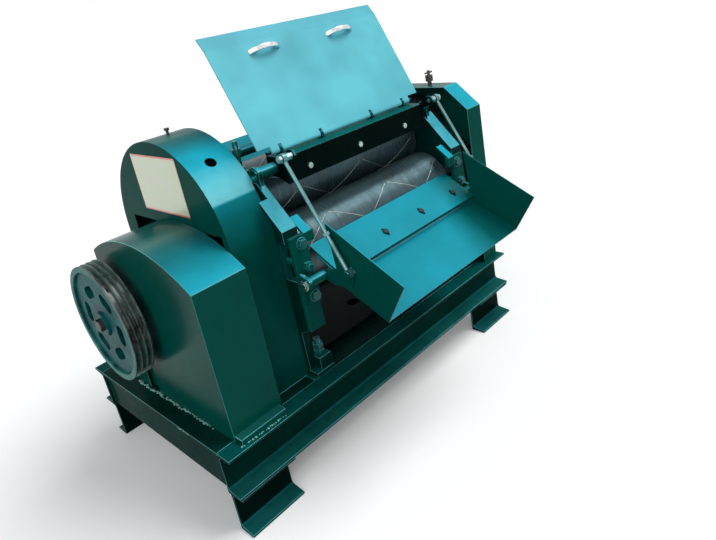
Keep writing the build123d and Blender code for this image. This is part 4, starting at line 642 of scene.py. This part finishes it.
def softened(node, width, segments=2, angle=30.0, edge="edge", smooth=35.0, shape=None):
    """Copy of a CAD node with its outer edges rounded and lighter as a painted highlight, standing for that
    node.
    """
    finish = next(key for key, names in FINISH.items() if node in names)
    copy = bpy.data.objects.new(node + "_finish", NODES[node].data.copy())
    bpy.context.scene.collection.objects.link(copy)
    only(copy)
    bpy.ops.object.mode_set(mode="EDIT")
    bpy.ops.mesh.select_all(action="SELECT")
    bpy.ops.mesh.remove_doubles(threshold=MERGE_DISTANCE)
    bpy.ops.mesh.dissolve_limited(angle_limit=math.radians(0.4))
    if shape:
        shape(copy)
    bpy.ops.object.mode_set(mode="OBJECT")
    loose = bmesh.new()
    loose.from_mesh(copy.data)
    weights = loose.edges.layers.float.new("bevel_weight_edge")
    for line in loose.edges:
        if len(line.link_faces) == 2 and line.calc_face_angle_signed() > math.radians(angle):
            line[weights] = 1.0
    loose.to_mesh(copy.data)
    loose.free()
    copy.data.materials.clear()
    copy.data.materials.append(MATERIALS[finish])
    # The bevel faces take the lighter edge material, a painted highlight
    if edge:
        copy.data.materials.append(MATERIALS[edge])
    apply_modifier(copy, "BEVEL", width=width, segments=segments, limit_method="WEIGHT",
                   use_clamp_overlap=True, material=1 if edge else -1)
    only(copy)
    bpy.ops.object.shade_smooth_by_angle(angle=math.radians(smooth))
    apply_modifier(copy, "WEIGHTED_NORMAL", keep_sharp=True, weight=90)
    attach(copy, BODY_OF[node])
    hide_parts(node)


def bead(path, width, rise, spacing, normals):
    """Rippled weld bead: a long sphere whose rings follow a path, flattened on to the surface."""
    lengths = [0.0]
    for start, end in zip(path, path[1:]):
        lengths.append(lengths[-1] + (end - start).length)
    total = lengths[-1]
    rings = max(8, int(total / spacing * 3))
    bpy.ops.object.select_all(action="DESELECT")
    bpy.ops.mesh.primitive_uv_sphere_add(segments=8, ring_count=rings, radius=1.0)
    piece = bpy.context.object
    for vertex in piece.data.vertices:
        turn = math.acos(max(-1.0, min(1.0, vertex.co.z))) / math.pi
        around = math.atan2(vertex.co.y, vertex.co.x)
        reach = turn * total
        index = max(i for i in range(len(path) - 1) if lengths[i] <= reach + 1e-12)
        share = (reach - lengths[index]) / (lengths[index + 1] - lengths[index])
        point = path[index].lerp(path[index + 1], share)
        normal = normals[index].lerp(normals[index + 1], share).normalized()
        ahead = (path[index + 1] - path[index]).normalized()
        side = normal.cross(ahead)
        end_taper = min(1.0, 3.5 * min(reach, total - reach) / (width * 4) + 0.02)
        ripple = 0.8 + 0.2 * math.cos(2 * math.pi * reach / spacing) + 0.08 * math.sin(reach * UNEVEN_RIPPLE)
        size = width * ripple * min(1.0, end_taper ** 0.5)
        offset = side * (size * math.cos(around)) + normal * (size * rise * math.sin(around))
        vertex.co = point + offset
    only(piece)
    bpy.ops.object.shade_smooth()
    return piece


def straight_bead(start, end, normal, width, spacing, rise=0.55):
    """Bead along a straight seam."""
    start, end, normal = Vector(start), Vector(end), Vector(normal).normalized()
    return bead([start, end], width, rise, spacing, [normal, normal])


def ring(spot, axis, radius, thickness):
    """Washer edge: a flattened torus lying square to an axis."""
    turn = Vector(axis).to_track_quat("Z", "Y").to_euler()
    bpy.ops.object.select_all(action="DESELECT")
    bpy.ops.mesh.primitive_torus_add(location=spot, rotation=turn, major_radius=radius,
                                     minor_radius=WASHER_RIM, major_segments=32, minor_segments=10)
    piece = bpy.context.object
    piece.scale = (1.0, 1.0, thickness / WASHER_RIM)
    only(piece)
    bpy.ops.object.shade_smooth()
    return piece


def blobs(start, end, count, size, seed, stray):
    """Line of flattened weld beads and stray drops between two points on the deck."""
    draw = random.Random(seed)
    drops = []
    for index in range(count):
        share = (index + draw.random()) / count
        aside = Vector((draw.uniform(-stray, stray), draw.uniform(-stray, stray), 0))
        spot = start.lerp(end, share) + aside
        radius = size * draw.uniform(0.35, 1.0)
        bpy.ops.object.select_all(action="DESELECT")
        bpy.ops.mesh.primitive_ico_sphere_add(subdivisions=2, radius=radius, location=spot)
        drop = bpy.context.object
        drop.scale = (draw.uniform(0.8, 1.3), draw.uniform(0.9, 1.9), draw.uniform(0.45, 0.8))
        only(drop)
        bpy.ops.object.shade_smooth()
        drops.append(drop)
    return drops


def place(x, y, z):
    """Point in metres from millimetres off the base's left end, its front edge and the floor."""
    low = BOXES["front_beam"][0]
    return Vector((low.x + x / 1000, low.y + y / 1000, z / 1000))


# ------------------------------------------------------------------ pieces


class MILL_OT_finishes(bpy.types.Operator):
    """Give every CAD node its material"""

    bl_idname = "mill.finishes"
    bl_label = "Materials"

    def execute(self, context):
        MATERIALS.update(make_materials())
        for finish, names in FINISH.items():
            for name in names:
                mesh = NODES[name].data
                mesh.materials.clear()
                mesh.materials.append(MATERIALS[finish])
        return {"FINISHED"}


class MILL_OT_base(bpy.types.Operator):
    """Base channels, feet and deck with rolled edges, weld beads and spatter"""

    bl_idname = "mill.base"
    bl_label = "Base"

    def execute(self, context):
        sizes = context.scene.mill_sizes
        for node in ("front_beam", "rear_beam", "feet", "end_channels", "cross_beams", "deck_plates"):
            softened(node, sizes.edge, edge="dark_edge_highlight")
        beads = []
        for start, end, facing, share, ripple in DECK_WELDS:
            width = sizes.bead * share
            beads.append(straight_bead(place(*start, DECK), place(*end, DECK), facing, width, ripple))
        for x in FOOT_STARTS:
            for y, out in BASE_SIDES:
                start, end = (place(x + run, y, FOOT_TOP) for run in FOOT_WELD)
                beads.append(straight_bead(start, end, (0, out, 0), sizes.bead * 0.7, 0.008, 0.35))
        for x, out in BASE_ENDS:
            for y in END_WELD_DEPTHS:
                start, end = (place(x, y, z) for z in END_WELD)
                beads.append(straight_bead(start, end, (out, 0, 0), sizes.bead * 0.6, 0.008, 0.4))
        settle(joined(beads), "base_welds", "frame", "weld")
        drops = []
        for start, end, *spread in SPATTER:
            drops += blobs(place(*start), place(*end), *spread)
        settle(joined(drops), "weld_spatter", "frame", "spatter")
        return {"FINISHED"}


class MILL_OT_housings(bpy.types.Operator):
    """Mill cheeks, keepers, caps and the guard with softened edges"""

    bl_idname = "mill.housings"
    bl_label = "Housings"

    def execute(self, context):
        edge = context.scene.mill_sizes.edge
        for node in ("left_housing", "right_housing", "front_keepers", "rear_keepers", "guard_angle"):
            softened(node, edge * 0.9)
        for node in ("front_bearings", "top_bearings", "rear_bearings", "top_caps", "guard_plate",
                     "outer_bearing_plate", "inner_bearing_plate"):
            softened(node, edge * 0.8, edge="dark_edge_highlight")
        return {"FINISHED"}


class MILL_OT_covers(bpy.types.Operator):
    """Sheet covers with folded edges"""

    bl_idname = "mill.covers"
    bl_label = "Covers"

    def execute(self, context):
        edge = context.scene.mill_sizes.edge
        for node in ("small_gear_cover", "main_gear_cover", "roller_gear_cover"):
            softened(node, edge, angle=28.0, smooth=25.0)
        return {"FINISHED"}


class MILL_OT_lid(bpy.types.Operator):
    """Lid and its bow handles"""

    bl_idname = "mill.lid"
    bl_label = "Lid"

    def execute(self, context):
        softened("lid", SHEET_ROUNDING, smooth=10.0)
        softened("lid_handles", HANDLE_ROUNDING, segments=3, smooth=60.0, edge=None)
        return {"FINISHED"}


class MILL_OT_chute(bpy.types.Operator):
    """Discharge chute, scraper plate and feed tray"""

    bl_idname = "mill.chute"
    bl_label = "Chute"

    def execute(self, context):
        softened("discharge_chute", CHUTE_ROUNDING, smooth=30.0)
        softened("scraper_plate", CHUTE_ROUNDING)
        softened("feed_tray", SHEET_ROUNDING)
        return {"FINISHED"}


class MILL_OT_pulley(bpy.types.Operator):
    """Drive pulley with a shallow painted disc"""

    bl_idname = "mill.pulley"
    bl_label = "Pulley"

    def execute(self, context):
        web = BOXES["drive_pulley"][0].x + PULLEY_WEB

        def shallow(piece):
            bpy.ops.mesh.select_all(action="DESELECT")
            faces = bmesh.from_edit_mesh(piece.data)
            for point in faces.verts:
                point.select = abs(point.co.x - web) < 0.0005
            faces.select_flush_mode()
            bpy.ops.transform.translate(value=(WEB_SHIFT, 0, 0))

        softened("drive_pulley", SHEET_ROUNDING, edge=None, shape=shallow)
        return {"FINISHED"}


class MILL_OT_fasteners(bpy.types.Operator):
    """Bolts, nuts and screws with chamfered corners and washers"""

    bl_idname = "mill.fasteners"
    bl_label = "Fasteners"

    def execute(self, context):
        for node in ("keeper_bolts", "housing_bolts", "guard_bolts", "pivot_bolts", "lock_nuts",
                     "scraper_bolts", "adjusting_screws", "cap_studs"):
            softened(node, NUT_ROUNDING, angle=40.0, edge="edge" if node != "scraper_bolts" else None)
        thick = context.scene.mill_sizes.washer
        washers = []
        for x in WASHER_COLUMNS:
            for y, z, axis in WASHER_SPOTS:
                washers.append(ring(place(x, y, z), axis, WASHER_RADIUS, thick))
        settle(joined(washers), "washers", "frame", "fastener")
        return {"FINISHED"}


class MILL_OT_rollers(bpy.types.Operator):
    """Grip beads laid in zigzags round the three rollers"""

    bl_idname = "mill.rollers"
    bl_label = "Rollers"

    def execute(self, context):
        width = context.scene.mill_sizes.grip_bead
        for name, first in GRIP_FIRST.items():
            low, high = BOXES[name]
            middle = (low + high) / 2
            beads = []
            for row in range(GRIP_ROWS):
                for leg in range(GRIP_LEGS):
                    start = GRIP_START + leg * GRIP_PITCH
                    turn = first + row * 360 / GRIP_ROWS
                    swing = GRIP_SWING if leg % 2 else -GRIP_SWING
                    path, normals = self.slant(middle, start, turn - swing, 2 * swing)
                    beads.append(bead(path, width, 0.6, 0.005, normals))
            settle(joined(beads), name + "_grip_beads", BODY_OF[name], "grip")
        return {"FINISHED"}

    def slant(self, middle, start, turn, sweep):
        """Path and normals of one leg, which climbs round a roller as it runs along it."""
        path, normals = [], []
        for step in range(GRIP_STEPS + 1):
            share = step / GRIP_STEPS
            angle = math.radians(turn + sweep * share)
            out = Vector((0.0, math.cos(angle), math.sin(angle)))
            along = place(start + GRIP_LENGTH * share, 0, 0).x
            path.append(Vector((along, middle.y, middle.z)) + out * GRIP_REACH)
            normals.append(out)
        return path, normals


class MILL_OT_stage(bpy.types.Operator):
    """Floor, lights, world and camera"""

    bl_idname = "mill.stage"
    bl_label = "Stage"

    def execute(self, context):
        self.floor()
        self.world(context.scene)
        self.lamps()
        self.camera(context.scene)
        context.scene.view_settings.view_transform = "Standard"
        return {"FINISHED"}

    def seen_white(self, tree):
        """1 for rays that see the surface itself, 0 for those that gather its light."""
        ray = tree.nodes.new("ShaderNodeLightPath")
        shown = maths(tree, "ADD", ray.outputs["Is Camera Ray"], ray.outputs["Is Glossy Ray"])
        return maths(tree, "ADD", shown, ray.outputs["Is Transmission Ray"], clamp=True)

    def floor(self):
        """White paper that throws little light back on to the mill."""
        bpy.ops.object.select_all(action="DESELECT")
        bpy.ops.mesh.primitive_plane_add(size=FLOOR_SIZE, location=(0, 0, FLOOR_DROP))
        floor = bpy.context.object
        floor.name = "studio_floor"
        paper = bpy.data.materials.new("studio_paper")
        paper.use_nodes = True
        tree = paper.node_tree
        shader = tree.nodes["Principled BSDF"]
        shader.inputs["Roughness"].default_value = 0.9
        shown = self.seen_white(tree)
        tree.links.new(blended(tree, shown, PAPER_LIGHT, WHITE), shader.inputs["Base Color"])
        tree.links.new(blended(tree, shown, BLACK, PAPER_GLOW), shader.inputs["Emission Color"])
        shader.inputs["Emission Strength"].default_value = 1.0
        floor.data.materials.append(paper)

    def world(self, scene):
        """White surroundings that light the mill weakly."""
        world = bpy.data.worlds.new("studio_world")
        world.use_nodes = True
        sky = world.node_tree
        background = sky.nodes["Background"]
        shown = self.seen_white(sky)
        sky.links.new(blended(sky, shown, SKY_LIGHT, WHITE), background.inputs["Color"])
        strength = maths(sky, "ADD", maths(sky, "MULTIPLY", shown, 1.0 - SKY_STRENGTH), SKY_STRENGTH)
        sky.links.new(strength, background.inputs["Strength"])
        scene.world = world

    def lamps(self):
        """Two wide suns."""
        for name, towards, spread, power, tint in LAMPS:
            bpy.ops.object.light_add(type="SUN", location=Vector(towards) * 4)
            lamp = bpy.context.object
            lamp.name = name + "_lamp"
            lamp.data.energy = power
            lamp.data.angle = math.radians(spread)
            lamp.data.color = tint
            lamp.rotation_euler = Vector(towards).to_track_quat("Z", "Y").to_euler()

    def camera(self, scene):
        """Camera at the photograph's place."""
        bpy.ops.object.camera_add(location=CAMERA_SPOT, rotation=CAMERA_TURN)
        camera = bpy.context.object
        camera.data.lens = CAMERA_LENS
        camera.data.sensor_width = CAMERA_SENSOR
        camera.data.shift_x, camera.data.shift_y = CAMERA_SHIFT
        scene.camera = camera


class MILL_PT_panel(bpy.types.Panel):
    """Lists the mill's sizes, colours and pieces"""

    bl_idname = "MILL_PT_panel"
    bl_label = "Cane mill"
    bl_space_type = "VIEW_3D"
    bl_region_type = "UI"
    bl_category = "Cane mill"

    def draw(self, context):
        layout = self.layout
        for group in (context.scene.mill_paint, context.scene.mill_sizes):
            for key in group.bl_rna.properties.keys():
                if key not in ("rna_type", "name"):
                    layout.prop(group, key)
        for operator in OPERATORS:
            layout.operator(operator.bl_idname)


OPERATORS = (MILL_OT_finishes, MILL_OT_stage, MILL_OT_base, MILL_OT_housings, MILL_OT_covers, MILL_OT_lid,
             MILL_OT_chute, MILL_OT_pulley, MILL_OT_fasteners, MILL_OT_rollers)
CLASSES = (MillPaint, MillSizes, *OPERATORS, MILL_PT_panel)


def register():
    for made in CLASSES:
        bpy.utils.register_class(made)
    bpy.types.Scene.mill_paint = bpy.props.PointerProperty(type=MillPaint)
    bpy.types.Scene.mill_sizes = bpy.props.PointerProperty(type=MillSizes)


def unregister():
    del bpy.types.Scene.mill_sizes
    del bpy.types.Scene.mill_paint
    for made in reversed(CLASSES):
        bpy.utils.unregister_class(made)


def main():
    register()
    bpy.ops.mill.finishes()
    bpy.ops.mill.stage()
    bpy.ops.mill.base()
    bpy.ops.mill.housings()
    bpy.ops.mill.covers()
    bpy.ops.mill.lid()
    bpy.ops.mill.chute()
    bpy.ops.mill.pulley()
    bpy.ops.mill.fasteners()
    bpy.ops.mill.rollers()


if __name__ == "__main__":
    main()
